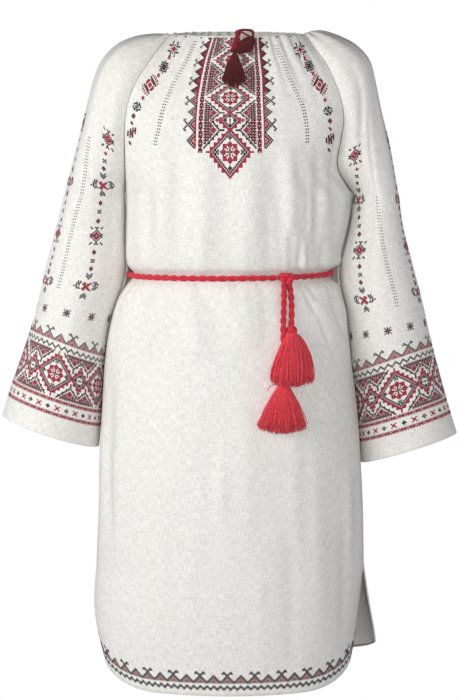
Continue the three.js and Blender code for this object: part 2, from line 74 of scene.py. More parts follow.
PLAIN_FRONT = (30, 62)  # the middle of the front has none up to here, and full ones from there


class Table:
    """Sizes in rows, the first column being the key; a size is looked up between the rows, smoothly."""

    def __init__(self, names, rows):
        self.names = names.split()
        self.rows = np.array(sorted(rows), float)
        last = len(self.rows) - 1
        low = np.clip(np.arange(last + 1) - 1, 0, last)
        high = np.clip(np.arange(last + 1) + 1, 0, last)
        keys = self.rows[:, 0]
        self.slopes = (self.rows[high] - self.rows[low]) / (keys[high] - keys[low])[:, None]

    def at(self, name, key):
        keys, column = self.rows[:, 0], self.names.index(name)
        place = np.clip(key, keys[0], keys[-1])
        b = np.clip(np.searchsorted(keys, place), 1, len(keys) - 1)
        a = b - 1
        step = keys[b] - keys[a]
        t = (place - keys[a]) / step
        size, slope = self.rows[:, column], self.slopes[:, column]
        return (
            (2 * t**3 - 3 * t**2 + 1) * size[a]
            + (t**3 - 2 * t**2 + t) * step * slope[a]
            + (3 * t**2 - 2 * t**3) * size[b]
            + (t**3 - t**2) * step * slope[b]
        )


SEAM = Table("row frontY frontZ backY backZ right left", [
    (0, -26, 2, 26, 6, 88, 107),
    (1, -42, -19, 42, -12, 104, 121),
    (2, -54, -42, 54, -36, 120, 137),
    (3, -62, -68, 64, -64, 136, 149),
    (4, -64, -95, 68, -92, 147, 158),
    (5, -60, -122, 64, -120, 152, 162),
    (6, -50, -152, 54, -151, 154, 158),
    (7, -36, -190, 40, -190, 154, 155),
    (8, 7, UNDERARM_Z, 7, UNDERARM_Z, 156, 180),
])
CENTRE = Table("row frontY frontZ backY backZ turn", [
    (0, -70, -3, 70, 12, 68),
    (1, -79, -30, 80, -16, 68),
    (2, -88, -60, 90, -45, 69),
    (3, -97, -90, 98, -75, 71),
    (4, -105, -118, 104, -105, 74),
    (5, -111, -146, 108, -135, 78),
    (6, -115, -173, 110, -165, 82),
    (7, -117, -200, 110, -195, 86),
    (8, -117, UNDERARM_Z, 108, UNDERARM_Z, 90),
])
SHOULDER = Table("row rightX rightZ leftX leftZ halfDepth", [
    (0, 96, 3, 116, 7, 26),
    (1, 118, 3, 134, 8, 43),
    (2, 143, -1, 160, 0, 56),
    (3, 168, -12, 184, -13, 66),
    (4, 188, -32, 203, -34, 71),
    (5, 201, -60, 212, -66, 71),
    (6, 213, -105, 221, -108, 69),
    (7, 227, -160, 234, -160, 65),
    (8, 246, -230, 247, -230, 60),
])
BODY = Table("z right left frontY backY", [
    (UNDERARM_Z, 156, 180, -117, 108),
    (-258, 155.5, 177, -117, 107),
    (-286, 156, 172, -115, 105),
    (-314, 156.5, 165, -112, 102),
    (-334, 154, 157, -107, 97),
    (BELT_Z, 144.5, 142.5, -96, 89),
    (-364, 154, 152, -100, 93),
    (-386, 169, 167, -106, 101),
    (-422, 180, 173.5, -111, 110),
    (-470, 188, 179, -116, 118),
    (-520, 192, 186, -119, 123),
    (-570, 195, 191.5, -121, 126),
    (-622, 198, 195, -123, 128),
    (-692, 199.5, 199, -125, 129),
    (-765, 203, 201, -127, 130),
    (-850, 206, 203, -129, 132),
    (-952, 206, 204, -130, 133),
])
VENT = Table("z frontright frontleft frontY backright backleft backY", [
    (VENT_TOP_Z, 0, 0, 0, 0, 0, 0),
    (-850, 0, -11, -17, -2, 9, 13),
    (-905, -14, -21, -34, -12, 19, 34),
    (-952, -20, -26, -45, -14, 24, 44),
])
SLEEVE = {
    "right": Table("row outerX outerZ innerX innerZ middleY halfDepth", [
        (0, 246, -230, 156, -230, 7, 60),
        (1, 259, -281, 157.2, -285, 10, 58),
        (2, 275, -340, 157.5, -350, 15, 61),
        (3, 290, -403, 181.3, -425, 20, 65),
        (4, 310, -464, 189.8, -495, 24, 69),
        (5, 329.5, -516, 194.6, -558, 26, 74),
        (6, 345, -561, 199.5, -610, 28, 80),
    ]),
    "left": Table("row outerX outerZ innerX innerZ middleY halfDepth", [
        (0, 247, -230, 180, -230, 7, 60),
        (1, 255, -279, 175.6, -283, 10, 58),
        (2, 270, -334, 161.5, -345, 15, 61),
        (3, 286, -393, 173.4, -412, 19, 65),
        (4, 301.6, -458, 180.6, -484, 23, 69),
        (5, 322, -530, 190.6, -566, 26, 74),
        (6, 341, -589, 196.6, -635, 28, 80),
    ]),
}

# The large folds: height of the top and bottom, across there, width, how far they stand out.
FOLDS = {
    "front": [
        (-140, -338, -0.6, -0.64, 0.08, 4),
        (-190, -340, -0.38, -0.44, 0.07, 3),
        (-150, -340, 0.34, 0.37, 0.06, 3),
        (-165, -340, 0.52, 0.52, 0.06, 4),
        (-180, -340, 0.72, 0.68, 0.07, 4),
        (-360, -560, -0.46, -0.4, 0.08, -4),
        (-358, -500, -0.22, -0.2, 0.06, -2),
        (-358, -440, 0.2, 0.24, 0.06, 2),
        (-358, -500, 0.42, 0.74, 0.07, 4),
        (-600, -760, -0.07, -0.06, 0.08, 2),
        (-560, -840, -0.84, -0.82, 0.08, 3),
        (-620, -840, 0.84, 0.82, 0.07, 3),
    ],
    "back": [
        (-150, -340, -0.68, -0.6, 0.07, 4),
        (-190, -342, -0.38, -0.36, 0.07, 5),
        (-170, -342, -0.08, -0.1, 0.07, 4),
        (-180, -342, 0.2, 0.22, 0.07, 5),
        (-150, -340, 0.5, 0.5, 0.08, 4),
        (-358, -620, -0.62, -0.66, 0.08, 4),
        (-358, -560, -0.34, -0.36, 0.07, 5),
        (-358, -680, 0.02, 0.04, 0.08, 4),
        (-358, -600, 0.34, 0.4, 0.07, 5),
        (-358, -580, 0.62, 0.68, 0.08, 4),
    ],
}
SLEEVE_SWELL = {  # where a sleeve's cloth falls in beside the waist: around, half width, then down and reach
    "right": [(0.72, 0.17, (8, 8.5, 9, 9.5, 10, 10.4, 11, 11.6), (0, 12, 20, 27, 35, 30, 10, 0))],
    "left": [
        (-0.76, 0.16, (8, 8.5, 9, 9.5, 10, 10.4, 11, 11.6), (0, 4, 8, 8, 5, 3, 1, 0)),
        (0.74, 0.17, (8, 8.5, 9, 9.5, 10, 10.4, 11, 11.6), (0, 5, 14, 21, 26, 27, 12, 0)),
    ],
}
PUFFS, PUFF_OUT, PUFF_HALF = (-333, -367), 6, 9  # the linen stands out over and under the belt at its left end
CUFF_RISE = {"right": 0.05, "left": 0.11}  # how much the front of a cuff stands higher than its back
SLEEVE_FOLDS = [  # the same, with downs for heights
    (0.2, 6.2, -0.5, -0.36, 0.16, 3),
    (0.2, 6.2, 0.5, 0.36, 0.16, 3),
    (3, 10.5, -0.66, -0.62, 0.1, -3),
    (3, 11, 0.62, 0.5, 0.1, -3),
    (5, 13, -0.3, -0.24, 0.1, 2.5),
    (8, 14, 0.2, 0.1, 0.12, 3),
]

# ---------------------------------------------------------------- the cloth's form


def lerp(a, b, share):
    return a + (b - a) * share


def smoothstep(value, low, high):
    t = np.clip((value - low) / (high - low), 0, 1)
    return t * t * (3 - 2 * t)


def unit(vectors):
    return vectors / np.maximum(np.linalg.norm(vectors, axis=-1, keepdims=True), 1e-12)


def sign_of(side):
    return -1 if side == "right" else 1


def fold_height(folds, across, level):
    """How far the large folds push the cloth out."""
    total = np.zeros(np.broadcast(across, level).shape)
    for top, bottom, at_top, at_bottom, width, height in folds:
        along = np.clip((level - top) / (bottom - top), 0, 1)
        rise = np.sin(np.pi * along**0.8).clip(0) ** 0.8
        total += height * rise * np.exp(-(((across - lerp(at_top, at_bottom, along)) / width) ** 2))
    return total


def row_height(face, across, z):
    hem_z, rise, start, curve = HEM[face]
    corner = np.clip((np.abs(across) - start) / (1 - start), 0, None) ** curve
    return z + rise * corner * smoothstep(-z, -VENT_TOP_Z + 20, -hem_z)


def panel_form(face, across, down):
    """Points of the front or back, from the right seam (-1) to the left (1), at steps down."""
    across, down = np.broadcast_arrays(np.asarray(across, float), np.asarray(down, float))
    yoke, row = down <= YOKE_ROWS, np.clip(down, 0, YOKE_ROWS)
    z_down = UNDERARM_Z - SKIRT_STEP * np.maximum(down - YOKE_ROWS, 0)
    left, share_across = across >= 0, np.abs(across)
    edge_height = row_height(face, 1, z_down)
    vent_key = np.minimum(edge_height, VENT_TOP_Z)
    by_side = lambda table, prefix, key: np.where(
        left, table.at(prefix + "left", key), table.at(prefix + "right", key)
    )
    edge_x = np.where(yoke, by_side(SEAM, "", row), by_side(BODY, "", edge_height) + by_side(VENT, face, vent_key))
    edge_x = edge_x + left * sum(PUFF_OUT * np.exp(-(((z_down - middle) / PUFF_HALF) ** 2)) for middle in PUFFS)
    edge_y = np.where(yoke, SEAM.at(face + "Y", row), SIDE_Y + VENT.at(face + "Y", vent_key))
    centre_y = np.where(yoke, CENTRE.at(face + "Y", row), BODY.at(face + "Y", z_down))
    turn = np.radians(np.where(yoke, CENTRE.at("turn", row), 90))
    angle = share_across * turn
    share = (1 - np.cos(angle)) / (1 - np.cos(turn))
    x = np.where(left, 1, -1) * edge_x * np.sin(angle) / np.sin(turn)
    y = lerp(centre_y, edge_y, share)
    level = np.where(
        yoke, lerp(CENTRE.at(face + "Z", row), SEAM.at(face + "Z", row), share), row_height(face, across, z_down)
    )
    z = level + (BELT_RISE + x * BELT_TILT) * np.exp(-(((level - BELT_Z) / BELT_PULL) ** 2))
    flat_at_seam = 1 - across**8
    drop = CENTRE.at(face + "Z", 0) - z
    plain = smoothstep(np.abs(x), *PLAIN_FRONT) if face == "front" else 1
    fade = (1 - smoothstep(drop, 0, PLEAT_LENGTH)) ** 1.5
    out = PLEAT_HEIGHT * plain * fade * flat_at_seam * np.cos(2 * np.pi * PLEATS * across)
    out = out + flat_at_seam * fold_height(FOLDS[face], across, level)
    outwards = unit(np.stack([x, y, 0 * x], -1))
    return np.stack([x, y, z], -1) + outwards * out[..., None]


def sleeve_form(side, around, down):
    """Points of a sleeve, from its front seam (-1) over the outer side (0) to its back seam (1)."""
    around, down = np.broadcast_arrays(np.asarray(around, float), np.asarray(down, float))
    sign, yoke = sign_of(side), down <= YOKE_ROWS
    row, ring = np.clip(down, 0, YOKE_ROWS), np.clip(down - YOKE_ROWS, 0, SLEEVE_ROWS)
    table = SLEEVE[side]
    pick = lambda in_yoke, below: np.where(yoke, in_yoke, below)
    middle_y = table.at("middleY", ring)
    front = np.stack([
        sign * pick(SEAM.at(side, row), table.at("innerX", ring)),
        pick(SEAM.at("frontY", row), middle_y),
        pick(SEAM.at("frontZ", row), table.at("innerZ", ring)),
    ], -1)
    back = np.stack([
        front[..., 0],
        pick(SEAM.at("backY", row), middle_y),
        pick(SEAM.at("backZ", row), table.at("innerZ", ring)),
    ], -1)
    seam_middle = (front + back) / 2
    top = np.stack([
        sign * pick(SHOULDER.at(side + "X", row), table.at("outerX", ring)),
        seam_middle[..., 1],
        pick(SHOULDER.at(side + "Z", row), table.at("outerZ", ring)),
    ], -1)
    half_depth = pick(SHOULDER.at("halfDepth", row), table.at("halfDepth", ring))
    wrap = np.arccos(np.clip((back[..., 1] - front[..., 1]) / 2 / half_depth, -1, 1))
    outwards = top - seam_middle
    reach = np.linalg.norm(outwards, axis=-1) / (1 + np.sin(wrap))
    outwards = unit(outwards)
    angle = around * (np.pi / 2 + wrap)
    ease = SEAM_GAP * (1.5 + smoothstep(down, 5, 8))
    fold = fold_height(SLEEVE_FOLDS, around, down)
    sway = (front - back) * np.array([1, 0, 1]) * (-around / 2)[..., None]
    for middle, width, downs, reaches in SLEEVE_SWELL[side]:
        swell = np.interp(down, downs, reaches) * np.exp(-(((around - middle) / width) ** 2))
        sway[..., 0] -= sign * swell
    deep = (half_depth + fold) * np.sin(angle)
    aside = np.stack([sign * ease, deep, -CUFF_RISE[side] * deep * smoothstep(down, YOKE_ROWS, SLEEVE_DOWN)], -1)
    return top + outwards * (reach * (np.cos(angle) - 1) + fold * np.cos(angle))[..., None] + aside + sway


# ---------------------------------------------------------------- creases, gathers and puckers


def crease_lines(x, z, lines):
    """Soft ridges and troughs along straight lines (x and z of both ends, width, height)."""
    total = np.zeros(x.shape)
    for x0, z0, x1, z1, width, height in lines:
        run = np.array([x1 - x0, z1 - z0])
        length = np.hypot(*run)
        along = ((x - x0) * run[0] + (z - z0) * run[1]) / length**2
        aside = ((x - x0) * run[1] - (z - z0) * run[0]) / length
        rise = np.sin(np.pi * np.clip(along, 0, 1)) ** 0.7
        total += height * rise * np.exp(-((aside / width) ** 2))
    return total


def gather_lines(rng, count, depth, height):
    """Places, lengths, half widths and heights of uneven gathers that run down from an edge."""
    places = np.linspace(-1, 1, count) + rng.uniform(-0.35, 0.35, count) * 2 / count
    return [
        (place, rng.uniform(*depth), rng.uniform(0.32, 0.55) * 2 / count, height * rng.uniform(0.5, 1.1))
        for place in places
    ]


def gathered_edge(place, drop, lines, start=0.0):
    """Height of those gathers at a place along the edge and a drop below it."""
    total = np.zeros(np.broadcast(place, drop).shape)
    for middle, depth, width, height in lines:
        t = np.clip((drop - start) / depth, 0, 1)
        fade = (1 - t) ** 1.4 * (1 + 1.5 * t)
        spread = width * (1 + 0.6 * t)
        total += height * fade * np.exp(-(((place - middle) / spread) ** 2))
    return total


# Small creases: x and z of both ends, half width, and how far they stand out (or in).
FRONT_CREASES = [
    (-99, -140, -95, -346, 16, 9.5), (-41, -150, -42, -346, 20, 7.5), (26, -160, 28, -346, 23, 8),
    (84, -150, 84, -346, 13, 7), (113, -190, 112, -346, 6, 4), (140, -200, 138, -344, 8, 3),
    (-127, -290, -128, -346, 6, 3), (-98, -352, -124, -470, 14, 8.5), (-60, -352, -46, -470, 16, 7.5),
    (-140, -356, -160, -430, 10, 3), (8, -352, 22, -460, 24, 6), (152, -140, 142.5, -208, 3, -3.4),
    (144, -185, 142, -240, 3, -3), (100, -160, 104, -338, 6, 1.7), (124, -150, 120, -338, 6, -2.5),
    (60, -230, 64, -336, 7, 1.7), (-40, -262, -42, -338, 6, 1.4), (18, -270, 20, -338, 5, 1.2),
    (122, -364, 174, -470, 7, 3.7), (112, -366, 146, -430, 6, -3.1), (130, -362, 168, -425, 6, 3.1),
    (-16, -600, -14, -700, 9, 2.4), (-186, -560, -178, -740, 8, -3.4), (-171, -600, -168, -770, 6, 2),
    (172, -620, 176, -770, 7, 3.1), (20, -364, 28, -430, 6, 1.5), (-130, -440, -128, -640, 10, 1.7),
    (90, -520, 96, -760, 12, 1.7), (-60, -700, -58, -900, 12, 1.4), (40, -760, 44, -930, 12, 1.5),
    (84, -270, 86, -344, 6, -3.5), (97, -300, 96, -346, 3.5, -3), (103, -290, 104, -346, 4, 3),
    (112, -280, 111, -345, 4, -2.5), (131, -300, 128, -345, 4, -2.5), (100, -358, 128, -410, 3.5, -3),
    (128, -408, 156, -470, 4, -3.2), (109, -356, 128, -384, 3, -2.6), (112, -362, 146, -424, 5, 3),
    (136, -366, 176, -450, 4, -3.2), (146, -364, 178, -420, 4, 2.6), (34, -358, 40, -440, 8, 2),
    (20, -470, 24, -760, 16, 2.2), (-100, -620, -104, -900, 16, 2.6), (-30, -520, -28, -800, 14, -2),
    (120, -560, 132, -900, 14, 2.4), (84, -700, 90, -930, 12, -2), (-176, -480, -182, -640, 7, -3),
    (-160, -500, -166, -700, 9, 2.6), (165, -700, 168, -900, 8, -2.6), (80, -350, 80, -394, 12, -4.2),
]
BACK_CREASES = [
    (-60, -120, -70, -330, 8, 2.7), (40, -150, 46, -335, 8, 2.7), (104, -140, 110, -336, 7, 2.5),
    (-112, -180, -116, -336, 7, 2.5), (-20, -240, -24, -338, 6, 1.7), (78, -230, 84, -338, 6, 1.7),
    (-96, -364, -106, -560, 8, 3.1), (96, -364, 112, -540, 8, 3.1), (-30, -366, -34, -520, 7, 2.4),
    (30, -366, 34, -500, 7, 2), (-150, -364, -166, -470, 7, 3.1), (150, -364, 168, -480, 7, 3.1),
    (-80, -600, -84, -860, 12, 2.4), (60, -620, 70, -880, 12, 2.4), (0, -560, 4, -760, 12, 1.7),
    (-30, -620, -34, -900, 14, 2.4), (110, -640, 118, -900, 12, -2.2), (-120, -560, -130, -880, 14, 2.4),
]

NECK_GATHERS, SLEEVE_GATHERS = (27, (45, 150), 2.3), (9, (1.4, 4.5), 2.4)  # how many, their lengths and height
PUCKERS = {"above": (25, (18, 60), 1.5), "below": (29, (22, 90), 2.0)}
PLAIN_YOKE = (40, 72)  # the embroidered middle of the front has no gathers


def panel_detail(face, across, points, rng):
    """Small creases, the uneven gathers at the neck, and the puckers that the belt draws in."""
    x, z = points[..., 0], points[..., 2]
    drop = CENTRE.at(face + "Z", 0) - z + 9 * np.abs(across)
    plain = smoothstep(np.abs(x), *PLAIN_YOKE) if face == "front" else 1
    gathers = gathered_edge(across, drop, gather_lines(rng, *NECK_GATHERS)) * plain
    over_belt = z - BELT_RISE - x * BELT_TILT - BELT_Z
    above = gathered_edge(across, over_belt, gather_lines(rng, *PUCKERS["above"]), 4) * (over_belt > 0)
    below = gathered_edge(across, -over_belt, gather_lines(rng, *PUCKERS["below"]), 4) * (over_belt <= 0)
    off_cord = smoothstep(np.abs(over_belt), 3, 16)
    creases = crease_lines(x, z, FRONT_CREASES if face == "front" else BACK_CREASES)
    puckers = (above + below) * off_cord
    return (gathers + creases + puckers) * (1 - np.abs(across) ** 10)


SLEEVE_CREASES = {  # around and down of both ends, width and height
    "right": [
        (-0.42, 1.5, -0.36, 9.5, 0.05, 1.6), (-0.2, 2.5, -0.16, 10, 0.05, -1.2), (-0.78, 6.5, -0.7, 11.5, 0.06, -2.2),
        (-0.1, 8, -0.05, 13.2, 0.06, 1.4), (-0.55, 9.5, -0.48, 13.8, 0.05, 1.5), (0.3, 4, 0.34, 12, 0.06, 1.6),
        (0.6, 6, 0.55, 12.5, 0.07, -1.8),
    ],
    "left": [
        (-0.3, 1.5, -0.26, 8.5, 0.05, 1.4), (-0.5, 5.5, -0.57, 11, 0.03, -2.4), (-0.62, 3.5, -0.66, 11, 0.05, -1.6),
        (-0.8, 6.5, -0.74, 12, 0.06, -2.0), (-0.12, 7.5, -0.1, 13, 0.06, 1.3), (0.28, 4, 0.3, 12, 0.06, 1.5),
        (0.55, 6, 0.5, 12.5, 0.07, -1.6),
    ],
}


def sleeve_detail(side, around, down, rng):
    gathers = gathered_edge(around, down, gather_lines(rng, *SLEEVE_GATHERS))
    creases = crease_lines(around * 100, down * 10, [
        (a0 * 100, d0 * 10, a1 * 100, d1 * 10, width * 100, height)
        for a0, d0, a1, d1, width, height in SLEEVE_CREASES[side]
    ])
    return (gathers + creases) * (1 - np.abs(around) ** 10)


# ---------------------------------------------------------------- a piece of cloth as a grid


class Cloth:
    """A grid of points over a piece: rows go down from the neck, columns from its right edge (or front seam)."""

    def __init__(self, form, detail, downs, columns, flip, ease):
        self.downs, self.across = downs, np.linspace(-1, 1, columns + 1)
        across = self.across.copy()
        across[0], across[-1] = -1 + ease, 1 - ease
        across, down = np.meshgrid(across, downs)
        self.flip = flip
        self.points = form(across, down)
        self.normals = self.ways_out()
        self.points = self.points + self.normals * detail(across, down, self.points)[..., None]
        self.normals = self.ways_out()
        steps_down = np.linalg.norm(np.diff(self.points, axis=0), axis=-1)
        steps_across = np.linalg.norm(np.diff(self.points, axis=1), axis=-1)
        self.from_top = np.vstack([np.zeros(columns + 1), np.cumsum(steps_down, 0)])
        self.from_hem = self.from_top[-1] - self.from_top
        run = np.hstack([np.zeros((len(downs), 1)), np.cumsum(steps_across, 1)])
        self.run = run - run[:, [columns // 2]]

    def ways_out(self):
        out = np.cross(np.gradient(self.points, axis=0), np.gradient(self.points, axis=1))
        return unit(out) * (-1 if self.flip else 1)

    def look(self, values, i, j):
        """A grid of values between its points."""
        rows, columns = values.shape[:2]
        i, j = np.clip(i, 0, rows - 1.001), np.clip(j, 0, columns - 1.001)
        i0, j0 = i.astype(int), j.astype(int)
        fi, fj = i - i0, j - j0
        if values.ndim == 3:
            fi, fj = fi[..., None], fj[..., None]
        return (
            values[i0, j0] * (1 - fi) * (1 - fj) + values[i0, j0 + 1] * (1 - fi) * fj
            + values[i0 + 1, j0] * fi * (1 - fj) + values[i0 + 1, j0 + 1] * fi * fj
        )

    def place(self, across, down):
        """Grid place of an across and a down."""
        i = np.interp(down, self.downs, np.arange(len(self.downs)))
        j = np.interp(across, self.across, np.arange(len(self.across)))
        return np.broadcast_arrays(i, j)

    def above_hem(self, height, j):
        """Row place at a height above the lower edge, measured along the cloth."""
        height, j = np.broadcast_arrays(np.asarray(height, float), np.asarray(j, float))
        low, high = np.zeros(height.shape), np.full(height.shape, len(self.downs) - 1.0)
        for _ in range(18):
            middle = (low + high) / 2
            over = self.look(self.from_hem, middle, j) > height
            low, high = np.where(over, middle, low), np.where(over, high, middle)
        return (low + high) / 2

    def row_run(self, height):
        """Distances along the row that lies at a height above the lower edge, from its middle."""
        columns = np.arange(len(self.across), dtype=float)
        i = self.above_hem(height, columns[len(columns) // 2])
        return self.look(self.run, np.full(len(columns), float(i)), columns)

    def under(self, x, z):
        """Grid place of a point seen from the front."""
        x, z = np.broadcast_arrays(np.asarray(x, float), np.asarray(z, float))
        rows, columns = self.points.shape[:2]
        i = np.interp(-z, -self.points[:, columns // 2, 2], np.arange(rows))
        ends = [self.look(self.points[..., 0], i, np.full(i.shape, end)) for end in (0.0, columns - 1.0)]
        j = (columns - 1) * np.clip((x - ends[0]) / (ends[1] - ends[0]), 0.02, 0.98)
        for _ in range(14):
            here = self.look(self.points, i, j)
            by_i = self.look(self.points, i + 0.5, j) - self.look(self.points, i - 0.5, j)
            by_j = self.look(self.points, i, j + 0.5) - self.look(self.points, i, j - 0.5)
            dx, dz = x - here[..., 0], z - here[..., 2]
            turn = by_i[..., 0] * by_j[..., 2] - by_j[..., 0] * by_i[..., 2]
            i = np.clip(i + np.clip((dx * by_j[..., 2] - by_j[..., 0] * dz) / turn, -5, 5), 0, rows - 1)
            j = np.clip(j + np.clip((by_i[..., 0] * dz - dx * by_i[..., 2]) / turn, -5, 5), 0, columns - 1)
        return i, j

    def shell(self, name, finish):
        """The wall of cloth as a mesh: outer and inner side, its edges turned in, with a weave map and a bake map."""
        grids = turned_in(self.points, self.normals, self.run, self.from_top)
        grids = turned_in(*(np.swapaxes(grid, 0, 1) for grid in grids))
        points, normals, run, drop = (np.swapaxes(grid, 0, 1) for grid in grids)
        rows, columns = points.shape[:2]
        inner = points - normals * CLOTH
        vertices = np.concatenate([points.reshape(-1, 3), inner.reshape(-1, 3)]) * MM
        inside = rows * columns
        index = np.arange(inside).reshape(rows, columns)
        a, b, c, d = index[:-1, :-1], index[1:, :-1], index[1:, 1:], index[:-1, 1:]
        quads = lambda *corners: np.stack([k.ravel() for k in corners], -1)
        if self.flip:
            sides = [quads(a, d, c, b), quads(a, b, c, d) + inside]
        else:
            sides = [quads(a, b, c, d), quads(a, d, c, b) + inside]
        for edge, turned in (
            (index[:, 0], False), (index[:, -1], True), (index[0, :], True), (index[-1, :], False),
        ):
            e0, e1 = edge[:-1], edge[1:]
            rim = quads(e0, e0 + inside, e1 + inside, e1)
            sides.append(rim[:, ::-1] if turned != self.flip else rim)
        faces = np.concatenate(sides)
        mesh = new_mesh(name, vertices, faces)
        flat = faces.ravel()
        add_uv(mesh, "Weave", np.stack([run, drop], -1).reshape(-1, 2)[flat % inside] * MM)
        over, down = np.meshgrid(np.linspace(0.012, 0.488, columns), np.linspace(0.988, 0.012, rows))
        outer_map = np.stack([over, down], -1).reshape(-1, 2)
        corners = outer_map[flat % inside] + np.where(flat[:, None] >= inside, (0.5, 0), 0)
        start = 4 * (len(sides[0]) + len(sides[1]))
        for rim, way in zip(sides[2:], ((-0.006, 0), (0.006, 0), (0, 0.006), (0, -0.006))):
            at = np.arange(start, start + 4 * len(rim))
            corners[at] = outer_map[flat[at] % inside] + np.where(flat[at][:, None] >= inside, way, 0)
            start += 4 * len(rim)
        add_uv(mesh, "OFBake", corners)
        return new_piece(name, mesh, [finish])


TURNED_IN = ((0.30, 0.28), (0.45, 0.85), (0.42, 1.6), (0.30, 2.6))  # outwards, and behind the face


def turned_in(points, normals, run, drop):
    """Rolls the first and last rows of a grid over, so that each edge has a rounded turning."""
    ends = []
    for last in (False, True):
        edge, before = (-1, -2) if last else (0, 1)
        off, out = unit(points[edge] - points[before]), normals[edge]
        off = unit(off - out * (off * out).sum(-1, keepdims=True))
        new_points = [points[edge] + off * aside - out * behind for aside, behind in TURNED_IN]
        new_normals = [unit(off * share + out * (1 - share)) for share in (0.5, 0.9, 1, 1)]
        length = np.linalg.norm(points[edge] - points[before], axis=-1)
        slope_run, slope_drop = ((part[edge] - part[before]) / length for part in (run, drop))
        new_run = [run[edge] + slope_run * behind for _, behind in TURNED_IN]
        new_drop = [drop[edge] + slope_drop * behind for _, behind in TURNED_IN]
        ends.append([np.array(part if last else part[::-1]) for part in (new_points, new_normals, new_run, new_drop)])
    grids = zip(ends[0], (points, normals, run, drop), ends[1])
    return [np.concatenate([first, grid, final]) for first, grid, final in grids]


# ---------------------------------------------------------------- meshes


def new_mesh(name, vertices, faces):
    mesh = bpy.data.meshes.new(name)
    faces = np.asarray(faces)
    sides = faces.shape[1]
    mesh.vertices.add(len(vertices))
    mesh.vertices.foreach_set("co", np.ascontiguousarray(vertices, np.float32).ravel())
    mesh.loops.add(faces.size)
    mesh.loops.foreach_set("vertex_index", faces.ravel().astype(np.int32))
    mesh.polygons.add(len(faces))
    mesh.polygons.foreach_set("loop_start", np.arange(0, faces.size, sides, dtype=np.int32))
    mesh.update(calc_edges=True)
    mesh.validate()
    return mesh


def add_uv(mesh, name, corners):
    layer = mesh.uv_layers.new(name=name)
    layer.data.foreach_set("uv", np.ascontiguousarray(corners, np.float32).ravel())


def new_piece(name, mesh, finishes, smooth=True):
    piece = bpy.data.objects.new(name, mesh)
    bpy.context.scene.collection.objects.link(piece)
    for finish in finishes:
        mesh.materials.append(finish)
    mesh.polygons.foreach_set("use_smooth", np.full(len(mesh.polygons), smooth))
    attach(piece, BODY_NAME)
    return piece


CAP = 0.35  # a thread's end closes over this share of its radius


class Threads:
    """Tubes and lumps gathered into one mesh, as quads, with a map of length along and way round."""

    def __init__(self):
        self.vertices, self.faces, self.maps, self.count = [], [], [], 0

    def add(self, vertices, faces, maps):
        self.vertices.append(vertices.reshape(-1, 3))
        self.faces.append(np.asarray(faces) + self.count)
        self.maps.append(maps.reshape(-1, 2))
        self.count += vertices.reshape(-1, 3).shape[0]

    def tube(self, path, radius, sides=8, closed=False):
        """A round tube along a path; its ends close in small caps."""
        path = np.asarray(path, float)
        radius = np.broadcast_to(np.asarray(radius, float), len(path))
        along, first, second = frames(path, closed)
        run = run_along(path)
        if not closed:  # pull each end shut over a short cap
            path = np.vstack([path[0] - along[0] * radius[0] * CAP, path, path[-1] + along[-1] * radius[-1] * CAP])
            radius = np.concatenate([[radius[0] * CAP], radius, [radius[-1] * CAP]])
            first, second = (np.vstack([way[:1], way, way[-1:]]) for way in (first, second))
            run = np.concatenate([run[:1], run, run[-1:]])
        angle = np.arange(sides) * 2 * np.pi / sides
        rings = path[:, None] + radius[:, None, None] * (
            np.cos(angle)[None, :, None] * first[:, None] + np.sin(angle)[None, :, None] * second[:, None]
        )
        maps = np.stack(np.broadcast_arrays(run[:, None], (angle / (2 * np.pi))[None, :]), -1)
        index = np.arange(len(path) * sides).reshape(len(path), sides)
        rings_from, rings_to = (index, np.roll(index, -1, 0)) if closed else (index[:-1], index[1:])
        faces = np.stack([
            rings_from, np.roll(rings_from, -1, 1), np.roll(rings_to, -1, 1), rings_to,
        ], -1).reshape(-1, 4)
        if not closed:
            caps = []
            for ring, turned in ((index[0], True), (index[-1], False)):
                order = ring[::-1] if turned else ring
                for k in range(1, sides - 2, 2):
                    caps.append([order[0], order[k], order[k + 1], order[k + 2]])
            faces = np.vstack([faces, caps])
        self.add(rings, faces, maps)

    def mesh(self, name, finish):
        vertices = np.concatenate(self.vertices) * MM
        faces = np.concatenate(self.faces)
        mesh = new_mesh(name, vertices, faces)
        add_uv(mesh, "Twist", np.concatenate(self.maps)[faces.ravel()] * np.array([MM, 1]))
        return new_piece(name, mesh, [finish])


def frames(path, closed=False):
    """Ways along and across a path, carried along it without twist."""
    ahead = np.roll(path, -1, 0) - np.roll(path, 1, 0)
    if not closed:
        ahead[0], ahead[-1] = path[1] - path[0], path[-1] - path[-2]
    along = unit(ahead)
    start = np.array([0, -1.0, 0]) if abs(along[0][1]) < 0.9 else np.array([1.0, 0, 0])
    first = np.empty_like(along)
    way = unit(start - along[0] * (start @ along[0]))
    for k, direction in enumerate(along):
        way = unit(way - direction * (way @ direction))
        first[k] = way
    if closed:  # share out the turn that is left over
        last = unit(first[-1] - along[0] * (first[-1] @ along[0]))
        turn = math.atan2(np.cross(last, first[0]) @ along[0], last @ first[0])
        angle = np.linspace(0, turn, len(path))[:, None]
        first = first * np.cos(angle) + np.cross(along, first) * np.sin(angle)
    return along, first, np.cross(along, first)


def run_along(path):
    """How far along a path each of its points is."""
    return np.concatenate([[0], np.cumsum(np.linalg.norm(np.diff(path, axis=0), axis=1))])


